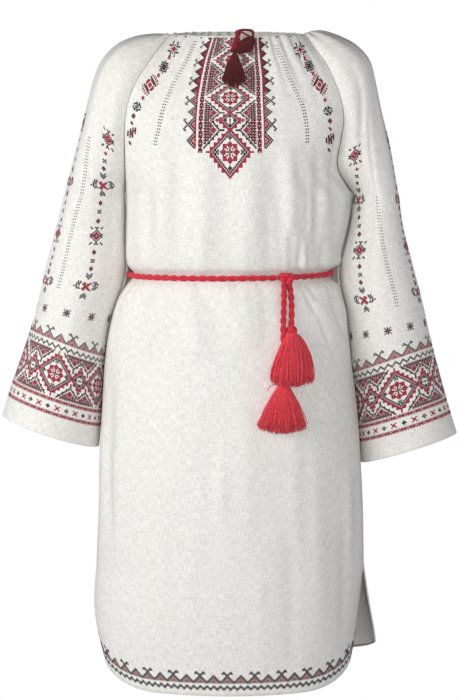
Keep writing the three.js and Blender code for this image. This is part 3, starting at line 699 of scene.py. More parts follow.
def smooth_path(points, spacing):
    """A smooth curve through the points, as even steps of about this spacing."""
    points = np.asarray(points, float)
    padded = np.vstack([2 * points[0] - points[1], points, 2 * points[-1] - points[-2]])
    t = np.linspace(0, 1, 24, endpoint=False)[:, None]
    fine = [
        p1 + 0.5 * t * (p2 - p0 + t * (2 * p0 - 5 * p1 + 4 * p2 - p3 + t * (3 * (p1 - p2) + p3 - p0)))
        for p0, p1, p2, p3 in zip(padded, padded[1:], padded[2:], padded[3:])
    ]
    fine = np.vstack([*fine, points[-1:]])
    run = run_along(fine)
    at = np.linspace(0, run[-1], max(4, round(run[-1] / spacing)) + 1)
    return np.stack([np.interp(at, run, fine[:, k]) for k in range(3)], -1)


# ---------------------------------------------------------------- finishes


class Value:
    """A shader socket that takes part in plain arithmetic."""

    def __init__(self, finish, socket):
        self.finish, self.socket = finish, socket

    def maths(self, operation, *terms):
        return self.finish.node("ShaderNodeMath", {"operation": operation}, dict(enumerate(terms)))

    def __add__(self, other):
        return self.maths("ADD", self, other)

    def __sub__(self, other):
        return self.maths("SUBTRACT", self, other)

    def __rsub__(self, other):
        return self.maths("SUBTRACT", other, self)

    def __mul__(self, other):
        return self.maths("MULTIPLY", self, other)

    __radd__, __rmul__ = __add__, __mul__

    def ramp(self, low, high):
        """0 below low, 1 above high, and a soft step between them."""
        return self.finish.node(
            "ShaderNodeMapRange", {"interpolation_type": "SMOOTHSTEP"},
            {"Value": self, "From Min": low, "From Max": high},
        )


class Finish:
    """A material: its shader, and the one way that its other nodes are added."""

    def __init__(self, name, **constants):
        self.material = bpy.data.materials.new(name)
        self.material.use_nodes = True
        self.tree = self.material.node_tree
        self.shader = self.tree.nodes["Principled BSDF"]
        for socket, value in constants.items():
            self.shader.inputs[socket.replace("_", " ")].default_value = value

    def node(self, kind, settings=None, inputs=None, output=0):
        node = self.tree.nodes.new(kind)
        for setting, value in (settings or {}).items():
            setattr(node, setting, value)
        for socket, value in (inputs or {}).items():
            self.join(value, node.inputs[socket])
        return Value(self, node.outputs[output])

    def join(self, value, socket):
        if isinstance(value, Value):
            self.tree.links.new(value.socket, socket)
        else:
            socket.default_value = value

    def mix(self, share, first, second):
        """Two colours mixed."""
        colour = lambda c: c if isinstance(c, Value) else (*c, 1)
        return self.node(
            "ShaderNodeMix", {"data_type": "RGBA"}, {0: share, 6: colour(first), 7: colour(second)}, output=2
        )

    def stretched(self, place, scale, shift=(0, 0, 0)):
        """A place with each of its ways scaled and shifted."""
        scaled = self.node("ShaderNodeVectorMath", {"operation": "MULTIPLY"}, {0: place, 1: scale})
        return self.node("ShaderNodeVectorMath", {"operation": "ADD"}, {0: scaled, 1: shift})

    def noise(self, place, scale=1.0, detail=2.0, roughness=0.5):
        return self.node(
            "ShaderNodeTexNoise", {}, {"Vector": place, "Scale": scale, "Detail": detail, "Roughness": roughness}
        )

    def finished(self, colour, height, relief, strength, roughness):
        """The material, once its colour, its relief (a height in metres) and its roughness are joined to it."""
        bump = self.node("ShaderNodeBump", {}, {"Height": height, "Distance": relief, "Strength": strength})
        for socket, value in (("Base Color", colour), ("Roughness", roughness), ("Normal", bump)):
            self.join(value, self.shader.inputs[socket])
        return self.material


THREAD_PITCH = 0.00082  # metres between threads of the linen
WAVE_SCALE = 20  # a wave node's bands are this much closer than its scale says


def linen_finish():
    """Homespun linen: uneven threads both ways, slubs, flecks, a little tone over the whole, and a little painted shade
    in the gaps between the threads.
    """
    linen = Finish("natural_linen", Roughness=0.95, Sheen_Weight=0.08, Sheen_Roughness=0.6)
    weave = linen.node("ShaderNodeUVMap", {"uv_map": "Weave"})
    warp = linen.noise(linen.stretched(weave, (980, 90, 0)), detail=2)
    weft = linen.noise(linen.stretched(weave, (90, 980, 0), (7, 3, 0)), detail=2)
    warp_slub = linen.noise(linen.stretched(weave, (430, 26, 0), (31, 5, 0)), detail=1).ramp(0.58, 0.74)
    weft_slub = linen.noise(linen.stretched(weave, (26, 430, 0), (3, 41, 0)), detail=1).ramp(0.58, 0.74)
    fleck = linen.noise(linen.stretched(weave, (700, 700, 0), (11, 17, 0)), detail=2).ramp(0.5, 0.72)
    tone = linen.noise(linen.stretched(weave, (9, 6, 0), (2, 2, 0)), detail=2)
    wave = lambda way: linen.node(
        "ShaderNodeTexWave", {"wave_type": "BANDS", "bands_direction": way, "wave_profile": "SIN"},
        {"Vector": weave, "Scale": 2 * math.pi / THREAD_PITCH / WAVE_SCALE, "Distortion": 0.6, "Detail": 1.0}, output=1,
    )
    threads = wave("X") * 0.5 + wave("Y") * 0.5
    crossing = (warp + weft) * 0.5
    colour = linen.mix(crossing.ramp(0.34, 0.64), (0.69, 0.68, 0.655), (0.95, 0.942, 0.92))
    colour = linen.mix(warp_slub * 0.24, colour, (0.60, 0.58, 0.52))
    colour = linen.mix(weft_slub * 0.24, colour, (0.62, 0.60, 0.55))
    colour = linen.mix(fleck * 0.20, colour, (0.56, 0.54, 0.50))
    colour = linen.mix(tone.ramp(0.35, 0.7) * 0.14, colour, (0.86, 0.84, 0.80))
    # painted shade: the gaps between the threads, where the bump is low, are darkened a little
    colour = linen.mix((1 - threads) * 0.10, colour, (0.55, 0.53, 0.48))
    height = threads * 0.35 + warp * 0.5 + weft * 0.5 + warp_slub * 0.4 + weft_slub * 0.4
    return linen.finished(colour, height, relief=0.0003, strength=0.7, roughness=0.98 - warp * 0.08)


def cord_finish(name, dark, mid, light, ply, sheen=0.15):
    """Spun thread that runs along a strand: the middle colour on the crowns of its plies, painted shade (the dark
    colour) in the grooves between them, lighter random fuzz, and darker random blotches.
    """
    cord = Finish(name, Roughness=0.75, Sheen_Weight=sheen, Sheen_Roughness=0.45)
    twist = cord.node("ShaderNodeUVMap", {"uv_map": "Twist"})
    slanted = cord.node(
        "ShaderNodeTexWave", {"wave_type": "BANDS", "bands_direction": "DIAGONAL", "wave_profile": "SIN"},
        {"Vector": cord.stretched(twist, (1 / ply, 5, 0)), "Scale": 0.32, "Distortion": 1.5, "Detail": 2.0}, output=1,
    )
    place = cord.node("ShaderNodeTexCoord", output=3)
    fuzz = cord.noise(place, scale=900, detail=3, roughness=0.7)
    blotch = cord.noise(place, scale=60, detail=2)
    # painted shade: the grooves between the plies, low in the bump, take the dark colour
    colour = cord.mix(slanted.ramp(0.1, 0.75), dark, mid)
    colour = cord.mix(fuzz.ramp(0.5, 0.8) * 0.55, colour, light)
    colour = cord.mix(blotch.ramp(0.4, 0.75) * 0.35, colour, dark)
    return cord.finished(colour, slanted * 0.6 + fuzz * 0.6, relief=0.0006, strength=0.9, roughness=0.68 + fuzz * 0.2)


def stitch_finish(name, dark, light, roughness=0.62):
    """Stranded embroidery thread: fine lines and a little change of tone from stitch to stitch."""
    stitch = Finish(name, Roughness=roughness, Sheen_Weight=0.1, Sheen_Roughness=0.5)
    place = stitch.node("ShaderNodeTexCoord", output=3)
    strands = stitch.noise(place, scale=2600, detail=2, roughness=0.6)
    tone = stitch.noise(place, scale=240, detail=2)
    colour = stitch.mix(strands.ramp(0.35, 0.7) * 0.6 + tone.ramp(0.3, 0.7) * 0.4, dark, light)
    return stitch.finished(colour, strands, relief=0.0002, strength=0.6, roughness=roughness + strands * 0.15)


stitch_finishes = [
    stitch_finish("red_thread", (0.22, 0.012, 0.028), (0.44, 0.04, 0.075)),
    stitch_finish("black_thread", (0.005, 0.005, 0.009), (0.02, 0.02, 0.032)),
    stitch_finish("maroon_thread", (0.07, 0.007, 0.018), (0.17, 0.022, 0.042)),
    stitch_finish("green_thread", (0.02, 0.05, 0.035), (0.06, 0.12, 0.08)),
    # the last two are painted shade: the dark inside of the dress seen through the drawn-thread openings, and a paler
    # shade for the faint ones
    stitch_finish("openwork_painted_shade", (0.02, 0.02, 0.02), (0.06, 0.058, 0.055), 0.95),
    stitch_finish("openwork_pale_painted_shade", (0.17, 0.165, 0.155), (0.29, 0.28, 0.26), 0.95),
]
linen = linen_finish()
belt_red = cord_finish("red_cord", (0.44, 0.006, 0.02), (0.78, 0.018, 0.05), (0.95, 0.06, 0.11), 0.0022)
# painted light: the tassels take a lighter copy of the belt's red, to lift the shade among their threads
tassel_red_painted_lighter = cord_finish("red_tassel_painted_lighter", (0.80, 0.025, 0.05), (0.98, 0.045, 0.08), (1.0, 0.14, 0.19), 0.0022, 0.3)
neck_red = cord_finish("dark_red_cord", (0.025, 0.004, 0.004), (0.20, 0.009, 0.013), (0.72, 0.05, 0.06), 0.0009, 0.06)
neck_bright = cord_finish("neck_red_cord", (0.16, 0.005, 0.010), (0.40, 0.014, 0.026), (0.52, 0.03, 0.04), 0.0012, 0.06)

# ---------------------------------------------------------------- cords, knots and tassels

STRAND_OFF = 0.46  # a strand's middle is this share of the cord's radius off the cord's own


def rope(threads, path, radius, pitch, phase, plump=0.66):
    """Two strands twisted round each other along a path."""
    _, first, second = frames(path)
    run = run_along(path)
    for strand in (0, 1):
        angle = (phase + 2 * np.pi * run / pitch + strand * np.pi)[:, None]
        aside = np.cos(angle) * first + np.sin(angle) * second
        threads.tube(path + STRAND_OFF * radius * aside, plump * radius, 10)


def wound_knot(threads, centre, half_sizes, cord_radius, lean=0.0):
    """A cord wound over and under itself round a core, as a tight overhand knot."""
    t = np.linspace(0, 2 * np.pi, 96, endpoint=False)
    shape = np.stack([
        (2 + np.cos(3 * t)) * np.cos(2 * t), (2 + np.cos(3 * t)) * np.sin(2 * t), 1.6 * np.sin(3 * t)
    ], -1)
    shape = shape[:, [0, 2, 1]] / np.array([3, 1.6, 3])
    turned = shape.copy()
    turned[:, 0] = shape[:, 0] * math.cos(lean) - shape[:, 2] * math.sin(lean)
    turned[:, 2] = shape[:, 0] * math.sin(lean) + shape[:, 2] * math.cos(lean)
    reach = np.array(half_sizes) - cord_radius
    threads.tube(np.asarray(centre) + turned * reach, cord_radius, 10, closed=True)
    lump(threads, centre, reach * 0.75)


def lump(threads, centre, half_sizes, rings=9, sides=12):
    """A closed ball, longer or shorter along each way."""
    tilt = np.linspace(-np.pi / 2 + 0.12, np.pi / 2 - 0.12, rings)
    path = np.stack([0 * tilt, 0 * tilt, np.sin(tilt)], -1)
    ball = Threads()
    ball.tube(path, np.cos(tilt), sides)
    threads.add(np.asarray(centre) + ball.vertices[0] * np.array(half_sizes), ball.faces[0], ball.maps[0] * [4, 1])


SPREADS = {  # how wide a skirt of threads is on its way down, as shares of its foot
    "mop": ((0, 0.03, 0.16, 0.29, 0.42, 0.61, 0.85, 1), (0.18, 0.26, 0.41, 0.53, 0.64, 0.80, 0.97, 1)),
    "tuft": ((0, 0.04, 0.14, 0.28, 0.45, 0.65, 0.85, 1), (0.2, 0.34, 0.55, 0.70, 0.80, 0.89, 0.96, 1)),
    "bound": ((0, 0.08, 0.2, 0.4, 0.6, 0.8, 1), (0.16, 0.2, 0.34, 0.55, 0.73, 0.88, 1)),
}


def tassel(threads, kind, top, foot, half_width, half_depth, count, thread, rng, lopsided=0.0, loose=0.022):
    """Cut threads that hang from their top and widen to an uneven foot, lowest in the middle."""
    top, foot = np.array(top, float), np.array(foot, float)
    length = float(np.linalg.norm(foot - top))
    lean = (foot - top) / length
    shares = np.array([0, 0.05, 0.12, 0.22, 0.34, 0.48, 0.64, 0.82, 1.0])
    spread = np.interp(shares, *SPREADS[kind]) * half_width
    flat = np.interp(shares, (0, 0.6), (1, half_depth / half_width))
    for k in range(count):
        way, out = k * 2.399963, math.sqrt((k + 0.5) / count)
        end = rng.uniform(1.02 - 5 * loose, 1.02) - 0.1 * out * out
        wander = np.cumsum(rng.normal(0, loose, len(shares))) * shares
        radius = spread * np.clip(out + wander, 0, 1.06)
        angle = way + np.cumsum(rng.normal(0, 0.03, len(shares)))
        bulge = lopsided * half_width * np.sin(np.pi * shares**0.6) * np.clip(np.cos(angle), 0, 1) * out
        path = top + lean * (shares * end * length)[:, None] + np.stack([
            radius * np.cos(angle) + bulge, radius * np.sin(angle) * flat, 0 * radius
        ], -1)
        threads.tube(path, thread * rng.uniform(0.75, 1.2) * np.linspace(1, 0.85, len(shares)), 4)
    core = np.linspace(0.03, 0.84, 8)
    widths = np.interp(core, shares, spread) * 0.84
    widths[-1] *= 0.6
    body = Threads()
    body.tube(np.stack([0 * core, 0 * core, -core * length], -1), widths, 12)
    points = body.vertices[0]
    squash = np.interp(-points[:, 2] / length, (0, 0.6), (1, half_depth / half_width))
    aside = np.stack([points[:, 0], points[:, 1] * squash, 0 * squash], -1)
    threads.add(top + aside - lean * points[:, 2:], body.faces[0], body.maps[0] * [3, 1])


def binding(threads, centre, radius, turns, thread):
    """A few turns of thread round the neck of a tassel."""
    ring = np.arange(24) * 2 * np.pi / 24
    for turn in range(turns):
        circle = np.array(centre) + np.stack([
            radius * np.cos(ring), radius * np.sin(ring), 0 * ring - 1.5 * thread * (turn - (turns - 1) / 2)
        ], -1)
        threads.tube(circle, thread, 6, closed=True)


def cord_piece(name, nodes, build, finish):
    """A piece made of threads, in place of its plain solids."""
    threads = Threads()
    build(threads)
    piece = threads.mesh(name, finish)
    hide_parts(*nodes)
    return piece


def twisted(node, path, radius, pitch, finish, phase=0.0, plump=0.66):
    """A twisted cord, in place of a plain one."""
    build = lambda threads: rope(threads, path, radius, pitch, phase, plump)
    return cord_piece(node + "_twisted", [node], build, finish)


WAIST_SEAT = 6.8  # the middle of the belt is this far outside the linen's plain form
WAIST_KNOT_X, WAIST_KNOT_HALF = 80, 8.4 + 7.6 / 3  # where the knot is, and how far off it the belt starts
END_RADIUS, NECK_RADIUS = 4, 1.35
NECK_INSET, NECK_DROP = 4.7, (5, 9)  # the drawstring is this far inside the neck edge, and below it, front and back
WAIST_ENDS = {
    "waist_end_short": [(84, -86.3, -357), (86, -91, -370), (87, -95.1, -385), (87, -97.7, -400), (86.6, -99.4, -412)],
    "waist_end_long": [
        (76.5, -89.3, -357), (76, -98.2, -380), (75, -103.7, -410), (75, -106.8, -440), (75.4, -109.6, -470),
        (75.4, -111.7, -497),
    ],
}
NECK_ENDS = {
    "neck_end_upper": [
        (9, -74.4, 0.5), (11, -75.6, 3.4), (14.5, -76.6, 4.6), (20, -76.8, 4.8), (26, -76.8, 4.5), (30.4, -76.8, 3),
        (31.6, -76.8, -0.5), (31, -76.6, -4), (30, -76.6, -7),
    ],
    "neck_end_lower": [
        (8.6, -73.8, -2.5), (8.2, -73.5, -7), (7.2, -75.6, -13), (6, -78, -20), (5, -80.3, -27), (4.5, -82.5, -34),
    ],
}


def waist_line(spacing):
    """Once round the waist, from one side of the knot to the other."""
    sizes = {name: float(BODY.at(name, BELT_Z)) for name in ("right", "left", "frontY", "backY")}
    knot = math.asin(WAIST_KNOT_X / (sizes["left"] + WAIST_SEAT))
    half = WAIST_KNOT_HALF / (sizes["left"] + WAIST_SEAT)
    angle = np.linspace(knot + half, knot - half + 2 * np.pi, 400)
    width = np.where(np.sin(angle) < 0, sizes["right"], sizes["left"]) + WAIST_SEAT
    depth = np.where(np.cos(angle) > 0, SIDE_Y - sizes["frontY"], sizes["backY"] - SIDE_Y) + WAIST_SEAT
    x = width * np.sin(angle)
    line = np.stack([x, SIDE_Y - depth * np.cos(angle), BELT_Z + BELT_RISE + x * BELT_TILT], -1)
    return smooth_path(line, spacing)


def neck_line():
    """Once round inside the neck edge."""
    turn, front_y, front_z, back_z = (CENTRE.at(name, 0) for name in ("turn", "frontY", "frontZ", "backZ"))
    angle = np.linspace(0.06, 2 * np.pi - 0.06, 240) + 0.08
    edge = np.where(np.sin(angle) < 0, SEAM.at("right", 0), SEAM.at("left", 0)) / math.sin(math.radians(turn))
    back = (1 - np.cos(angle)) / 2
    return np.stack([
        (edge - NECK_INSET) * np.sin(angle), (NECK_INSET + front_y) * np.cos(angle),
        lerp(front_z, back_z, back) - lerp(*NECK_DROP, back),
    ], -1)


NECK_STITCHES = {  # where the drawstring shows on the outside, by x
    "front": (-82, -66.5, -43, -19, 0.5, 41.5, 66, 87.5), "back": (-80, -56, -30, -5, 21, 47, 72, 94),
}
STITCH_DROP = 3.6  # they lie this far below the edge


def drawstring(threads):
    """The cord inside the neck edge, and the short stitches where it comes through the linen."""
    threads.tube(smooth_path(neck_line(), 2.5), NECK_RADIUS, 8)
    for face, places in NECK_STITCHES.items():
        cloth = cloths[face + "_panel"]
        for x in places:
            _, j = cloth.under(x, cloth.points[0, len(cloth.across) // 2, 2] - 4)
            i = np.interp(STITCH_DROP, cloth.from_top[:, int(j)], np.arange(len(cloth.downs)))
            i, j = np.full(5, i), float(j) + np.linspace(-0.55, 0.55, 5)
            lift = np.array([-0.6, 0.35, 0.6, 0.35, -0.6])[:, None]
            path = cloth.look(cloth.points, i, j) + lift * cloth.look(cloth.normals, i, j)
            threads.tube(path, 0.95, 8)


rng = np.random.default_rng(7)


def waist_knot(threads):
    """The belt crosses itself and both ends come down out of one lump."""
    wound_knot(threads, (79.6, -92.6, -347.6), (9.6, 8.8, 9.4), 3.5, 0.5)
    wound_knot(threads, (80.6, -92.0, -349.6), (8.6, 8.4, 8.6), 3.3, 2.0)
    for x0, x1 in ((72.4, 76), (86, 84.6)):  # the ends, coming round the front of the belt
        path = smooth_path([(x0, -92, -342), (x0 + 1, -98.5, -346), (x1, -97, -353), (x1, -90.5, -360)], 1.2)
        threads.tube(path, 3.4, 10)


def upper_tassel_threads(threads):
    tassel(threads, "mop", (86.8, -106.5, -425.5), (85.4, -128.5, -499), 30.5, 14, 480, 0.8, rng, lopsided=0.22)
    binding(threads, (86.7, -107.5, -427.2), 7.2, 3, 1.2)


def lower_tassel_threads(threads):
    tassel(threads, "bound", (75.6, -116.5, -494), (72, -128.5, -566), 34.5, 14, 500, 0.8, rng)
    binding(threads, (75.4, -117.2, -498.5), 6.6, 3, 1.1)
    loose = smooth_path([(70, -121, -498), (62, -124, -496.5), (55, -125.5, -500), (52.5, -125, -506)], 1.2)
    threads.tube(loose, 0.55, 5)


def into_ball(path):
    """The short end goes on a little way, into its ball."""
    step = unit(path[-1] - path[-4])
    return np.vstack([path, path[-1] + step * np.array([[1.5], [3], [4.5]])])


twisted("waist_cord", waist_line(1.6), 4.2, 29, belt_red, plump=0.6)
cord_piece("waist_knot_wound", ["waist_knot"], waist_knot, belt_red)
end_paths = {name: smooth_path(route, 1.5) for name, route in WAIST_ENDS.items()}
neck_paths = {name: smooth_path(route, 0.7) for name, route in NECK_ENDS.items()}
short_end = twisted("waist_end_short", into_ball(end_paths["waist_end_short"]), END_RADIUS, 25, belt_red)
long_end = twisted("waist_end_long", end_paths["waist_end_long"], END_RADIUS, 25, belt_red, phase=0.9)
ball = cord_piece(
    "waist_ball_wound", ["waist_ball_knot"],
    lambda threads: wound_knot(threads, (86.7, -105.5, -421.2), (8.2, 8, 7.6), 3.1, 0.2), belt_red,
)
upper_tassel = cord_piece(
    "waist_tassel_upper_threads", ["waist_tassel_upper"], upper_tassel_threads, tassel_red_painted_lighter
)
lower_tassel = cord_piece(
    "waist_tassel_lower_threads", ["waist_tassel_lower"], lower_tassel_threads, tassel_red_painted_lighter
)


def neck_knot(threads):
    """The tie of the drawstring: a wound lump, and the slack of its loop lying across to the upper tassel."""
    wound_knot(threads, (9.6, -74.2, 0), (4.6, 4.2, 5.5), 1.8, 0.3)
    slack = smooth_path([(10, -76.5, 4.2), (16, -77.6, 1.5), (23, -78, -2.4), (29.5, -78, -6.2)], 0.8)
    rope(threads, slack, 1.6, 7, 0.4)
    tail = smooth_path([(11, -77, 4), (8.6, -79.5, -5), (6.2, -81.5, -13), (3.6, -84, -23)], 0.8)
    for k in range(9):  # the tail lies open, as a few plies side by side
        angle, spread = 2 * np.pi * k / 9, np.linspace(1.5, 3.4, len(tail))
        aside = np.stack([spread * math.cos(angle), 0.55 * spread * math.sin(angle), 0 * spread], -1)
        threads.tube(tail + aside, np.linspace(1.1, 1.3, len(tail)), 6)


cord_piece("neck_knot_wound", ["neck_knot"], neck_knot, neck_bright)
neck_upper = twisted("neck_end_upper", neck_paths["neck_end_upper"], NECK_RADIUS, 7, neck_red, plump=1.1)
neck_lower = twisted("neck_end_lower", neck_paths["neck_end_lower"], NECK_RADIUS, 7, neck_bright, plump=0.8)
neck_tassel_upper = cord_piece(
    "neck_tassel_upper_threads", ["neck_tassel_upper"],
    lambda threads: tassel(
        threads, "tuft", (27.5, -77.5, -5), (11.5, -86, -29), 14, 5, 200, 0.7, rng, loose=0.06
    ), neck_red,
)
neck_tassel_lower = cord_piece(
    "neck_tassel_lower_threads", ["neck_tassel_lower"],
    lambda threads: tassel(
        threads, "bound", (5.4, -86.5, -27), (4.2, -102.1, -76), 16.5, 6, 260, 0.7, rng, loose=0.05
    ), neck_red,
)


def free_cord(path):
    path = path * MM


free_cord(end_paths["waist_end_short"])
free_cord(end_paths["waist_end_long"])
free_cord(neck_paths["neck_end_upper"])
free_cord(neck_paths["neck_end_lower"])

# ---------------------------------------------------------------- charts for the needlework

# the last two colours are painted shade: the dark and the paler shade of the dress's inside, seen through the
# drawn-thread openings
RED, BLACK, MAROON, GREEN, PAINTED_HOLE_SHADE, PAINTED_FAINT_SHADE = range(6)
LETTERS = {"r": RED, "k": BLACK, "m": MAROON, "g": GREEN}


def charted(text):
    """A small motif drawn as rows of letters, with its middle at 0, 0."""
    rows = text.split()
    high, wide = (len(rows) - 1) / 2, (max(map(len, rows)) - 1) / 2
    return [
        (c - wide, r - high, LETTERS[letter])
        for r, row in enumerate(rows) for c, letter in enumerate(row) if letter in LETTERS
    ]


MOTIFS = {name: charted(text) for name, text in {
    "dot": ".r. rrr .r.",
    "small_x": "k.k .k. k.k",
    "diamond": ".m. mrm mrm .m.",
    "cross": "....m.k ..k.m.k ..k.mmk k.krm.m k.rrr.m k.mrk.. k.m.k.. ..m.k..",
    "tick": "m. mm .m",
    "star": "m..k..m .m.k.m. ..mkm.. kkk.kkk ..mkm.. .m.k.m. m..k..m",
    "chevron_up": "..k.. .k.k. k.k.k .k.k. k...k",
    "chevron_down": "k...k .k.k. k.k.k .k.k. ..k..",
    "cross_between": "..k.k..........k.k.. .k.k..rr...rr..k.k. k.k....rrr.rrr..k.k ..k.k...rrrrr...k.k. "
    "k.k......rrr......k.k .k.k....rrrrr...k.k. ..k.k..rrr.rrr.k.k.. ......rr...rr.......",
    "hash": "..k.k.. .kk.kk. k..k..k ..k.k.. k..k..k .kk.kk. ..k.k..",
    "flake": "....k.... .r.k.k.r. ..k.k.k.. .k.kkk.k. k.kkrkk.k .k.kkk.k. ..k.k.k.. .r.k.k.r. ....k....",
    "cross_feathers": "...k...k... ....k.k.... .....k..... k..r...r..k .k..rrr..k. ..k.rrr.k.. .k..rrr..k. k..r...r..k "
    ".....k..... ....k.k.... ...k...k...",
    "square": "..r.r.r.. r.r.r.r.r ......... kkkkkkkkk ..rrrrr.. .r.....r. rr.rrr.rr rr.rrr.rr rr.rrr.rr .r.....r. "
    "..rrrrr.. kkkkkkkkk ......... r.r.r.r.r ..r.r.r..",
    "lozenge": "k...k.k...k .k...k...k. .....m..... ....m.m.... ...m.r.m... ..m.rrr.m.. km.rrrrr.mk .kmrr.rrmk. "
    "km.rrrrr.mk ..m.rrr.m.. ...m.r.m... ....m.m.... .....m..... .k...k...k. k...k.k...k",
}.items()}

ROSETTE = {  # an eighth of the flower, as cells aside and out
    (0, 2), (0, 3), (0, 4), (1, 4), (0, 5), (1, 5), (2, 5), (0, 6), (1, 6), (0, 7),
    (2, 2), (3, 3), (3, 4), (4, 4), (3, 5), (4, 5), (5, 5),
}
HORNS = {(1, 1), (2, 2), (3, 3), (2, 4)}  # cells past a tip, and aside
LARGE, SMALL = 15, 7  # half lengths of the two rhombs, in cells
REPEAT, TOOTH = 44, 12  # cells from one flower to the next, and from one triangle to the next


def first_of(*colours):
    return next((colour for colour in colours if colour is not None), None)


def rhomb_cell(along, across, half):
    """Colour inside or at the edge of a rhomb with its middle at 0, 0, or None."""
    a, b = abs(along), abs(across)
    d, t = a + b, b - a
    teeth = (d == half + 2 and t % 6 in (1, 5)) or (d == half + 3 and t % 6 == 0)
    if d in (half, half + 1) or (teeth and a < half - 1):
        return RED
    if d == half - 2:
        return BLACK
    if half == LARGE and d < 13:
        if (a, b) in ROSETTE or (b, a) in ROSETTE:
            return RED
        if d == 1 or (b in (9, 11) and a == 1) or (a, b) == (0, 10):
            return BLACK
        if b == 0 and a == 10:
            return RED
        if (b == 0 and a in (9, 11)) or (b == 1 and a == 10):
            return BLACK
    if half == SMALL:
        if d == 0 or (d == 1 and a == 1) or (a == 0 and b in (9, 10, 11)) or (a == 1 and b == 10):
            return RED
        if d in (3, 4) and 0 in (a, b):
            return BLACK
    return None


def lattice_cell(along, across, limit):
    """Colour of the net that fills the space beside a small rhomb, or None."""
    a, b = abs(along), abs(across)
    q = b - 8 - abs(a - 7)
    if b > limit or a > 21:
        return None
    if q == 0 or (q == -1 and a % 3 == 1 and a < 17) or (q in (-2, -3) and a == 7):
        return BLACK
    if q >= 2:
        near = abs(a - 7) + abs(b - 13)
        if near <= 2:
            return RED
        if near == 3:
            return None
        if (a + b) % 2 == 0:
            return BLACK if a % 2 == 0 else MAROON
        return RED if a % 2 == 0 else None
    return None


def triangle(base, horned, inner):
    """One triangle of a border, standing on its base row; every second one wears ram's horns."""
    cells = []
    for row in range(7):
        cells += [(side * row, row, BLACK) for side in (-1, 1)]
        cells += [(side * (row - 2), row, inner) for side in (-1, 1) if row > 1]
    cells += [(0, 4, RED), (-1, 5, RED), (0, 5, RED), (1, 5, RED), (-2, 6, inner), (0, 6, inner), (2, 6, inner)]
    if horned:
        cells += [(side * aside, -past, BLACK) for side in (-1, 1) for past, aside in HORNS]
    return [(c, base + r - 6, colour) for c, r, colour in dict.fromkeys(cells)]


SMALL_CROSS = charted("r..r .rr. .rr. r..r")
SMALL_RINGS = charted(".k. k.k .k."), charted(".k. kgk .k.")


def border(columns, top, inner):
    """Triangles over a zigzag, along a whole edge."""
    cells = []
    for k in range(columns // TOOTH):
        middle = TOOTH * k + TOOTH // 2 - columns / 2
        cells += [(c + middle, r, colour) for c, r, colour in triangle(top + 9, k % 2 == 0, inner)]
    cells += [
        (c - columns / 2, top + 12 + (0, 1, 2, 3, 2, 1)[c % 6], GREEN if c % TOOTH == 3 else BLACK)
        for c in range(columns)
    ]
    return cells


def braid(columns, top):
    return [
        (c - columns / 2, top + r, RED if (c + r) % 2 == 0 else MAROON) for c in range(columns) for r in range(3)
        if (c + r) % 2 == 0 or (c % 3 and r == 1)
    ]


def cuff_chart(columns):
    """The whole band of a sleeve; row 0 is the top of the horns."""
    cells = border(columns, 1, RED)
    for c in range(columns):
        along = (c - columns // 2 + REPEAT // 2) % REPEAT - REPEAT // 2
        beside = (along + REPEAT) % REPEAT - REPEAT // 2
        for r in range(-18, 19):
            colour = first_of(rhomb_cell(along, r, LARGE), rhomb_cell(beside, r, SMALL), lattice_cell(beside, r, 18))
            if colour is not None:
                cells.append((c - columns / 2, 36 + r, colour))
    cells += braid(columns, 56)
    for k in range(columns * 3 // REPEAT):
        middle = (k + 0.5) * REPEAT / 3 - columns / 2
        cells += [(c + middle, 63 + r, colour) for c, r, colour in SMALL_CROSS]
        cells += [(c + middle + REPEAT / 2 / 3, 63 + r, colour) for c, r, colour in SMALL_RINGS[k % 2]]
    cells += braid(columns, 67)
    return cells


def yoke_chart():
    """The long panel at the centre front: a chain of rhombs between braids and outward triangles."""
    chain = [(0, LARGE), (-22, SMALL), (-44, LARGE), (-66, SMALL), (-88, LARGE), (-110, SMALL)]  # middle row, size
    cells = {}
    for c in range(37):
        for r in range(-116, 19):
            colour = first_of(*(rhomb_cell(r - middle, c, half) for middle, half in chain))
            if colour is None and c <= 20:
                for middle, _ in chain[1::2]:
                    if abs(r - middle) <= 21:
                        colour = lattice_cell(r - middle, c, 20)
            if colour is None and r <= 0 and 22 <= c <= 24:
                colour = RED if (c + r) % 2 == 0 else (None if r % 3 == 0 else BLACK)
            if colour is None and r <= -3:
                beside, step = abs((r + 13) % 11 - 5), c - 28
                if c == 27:
                    colour = RED
                elif step >= 0 and step + beside == 5:
                    colour = BLACK
                elif step >= 0 and (step + beside in (3, 2, 0) or (r < -50 and step + beside < 5)):
                    colour = RED if step + beside < 3 else MAROON
                elif (r + 13) // 11 % 2 and (step - 5, beside) in HORNS:
                    colour = BLACK
            if colour is not None:
                cells[c, r] = cells[-c, r] = colour
    return [(c, r, colour) for (c, r), colour in cells.items()]


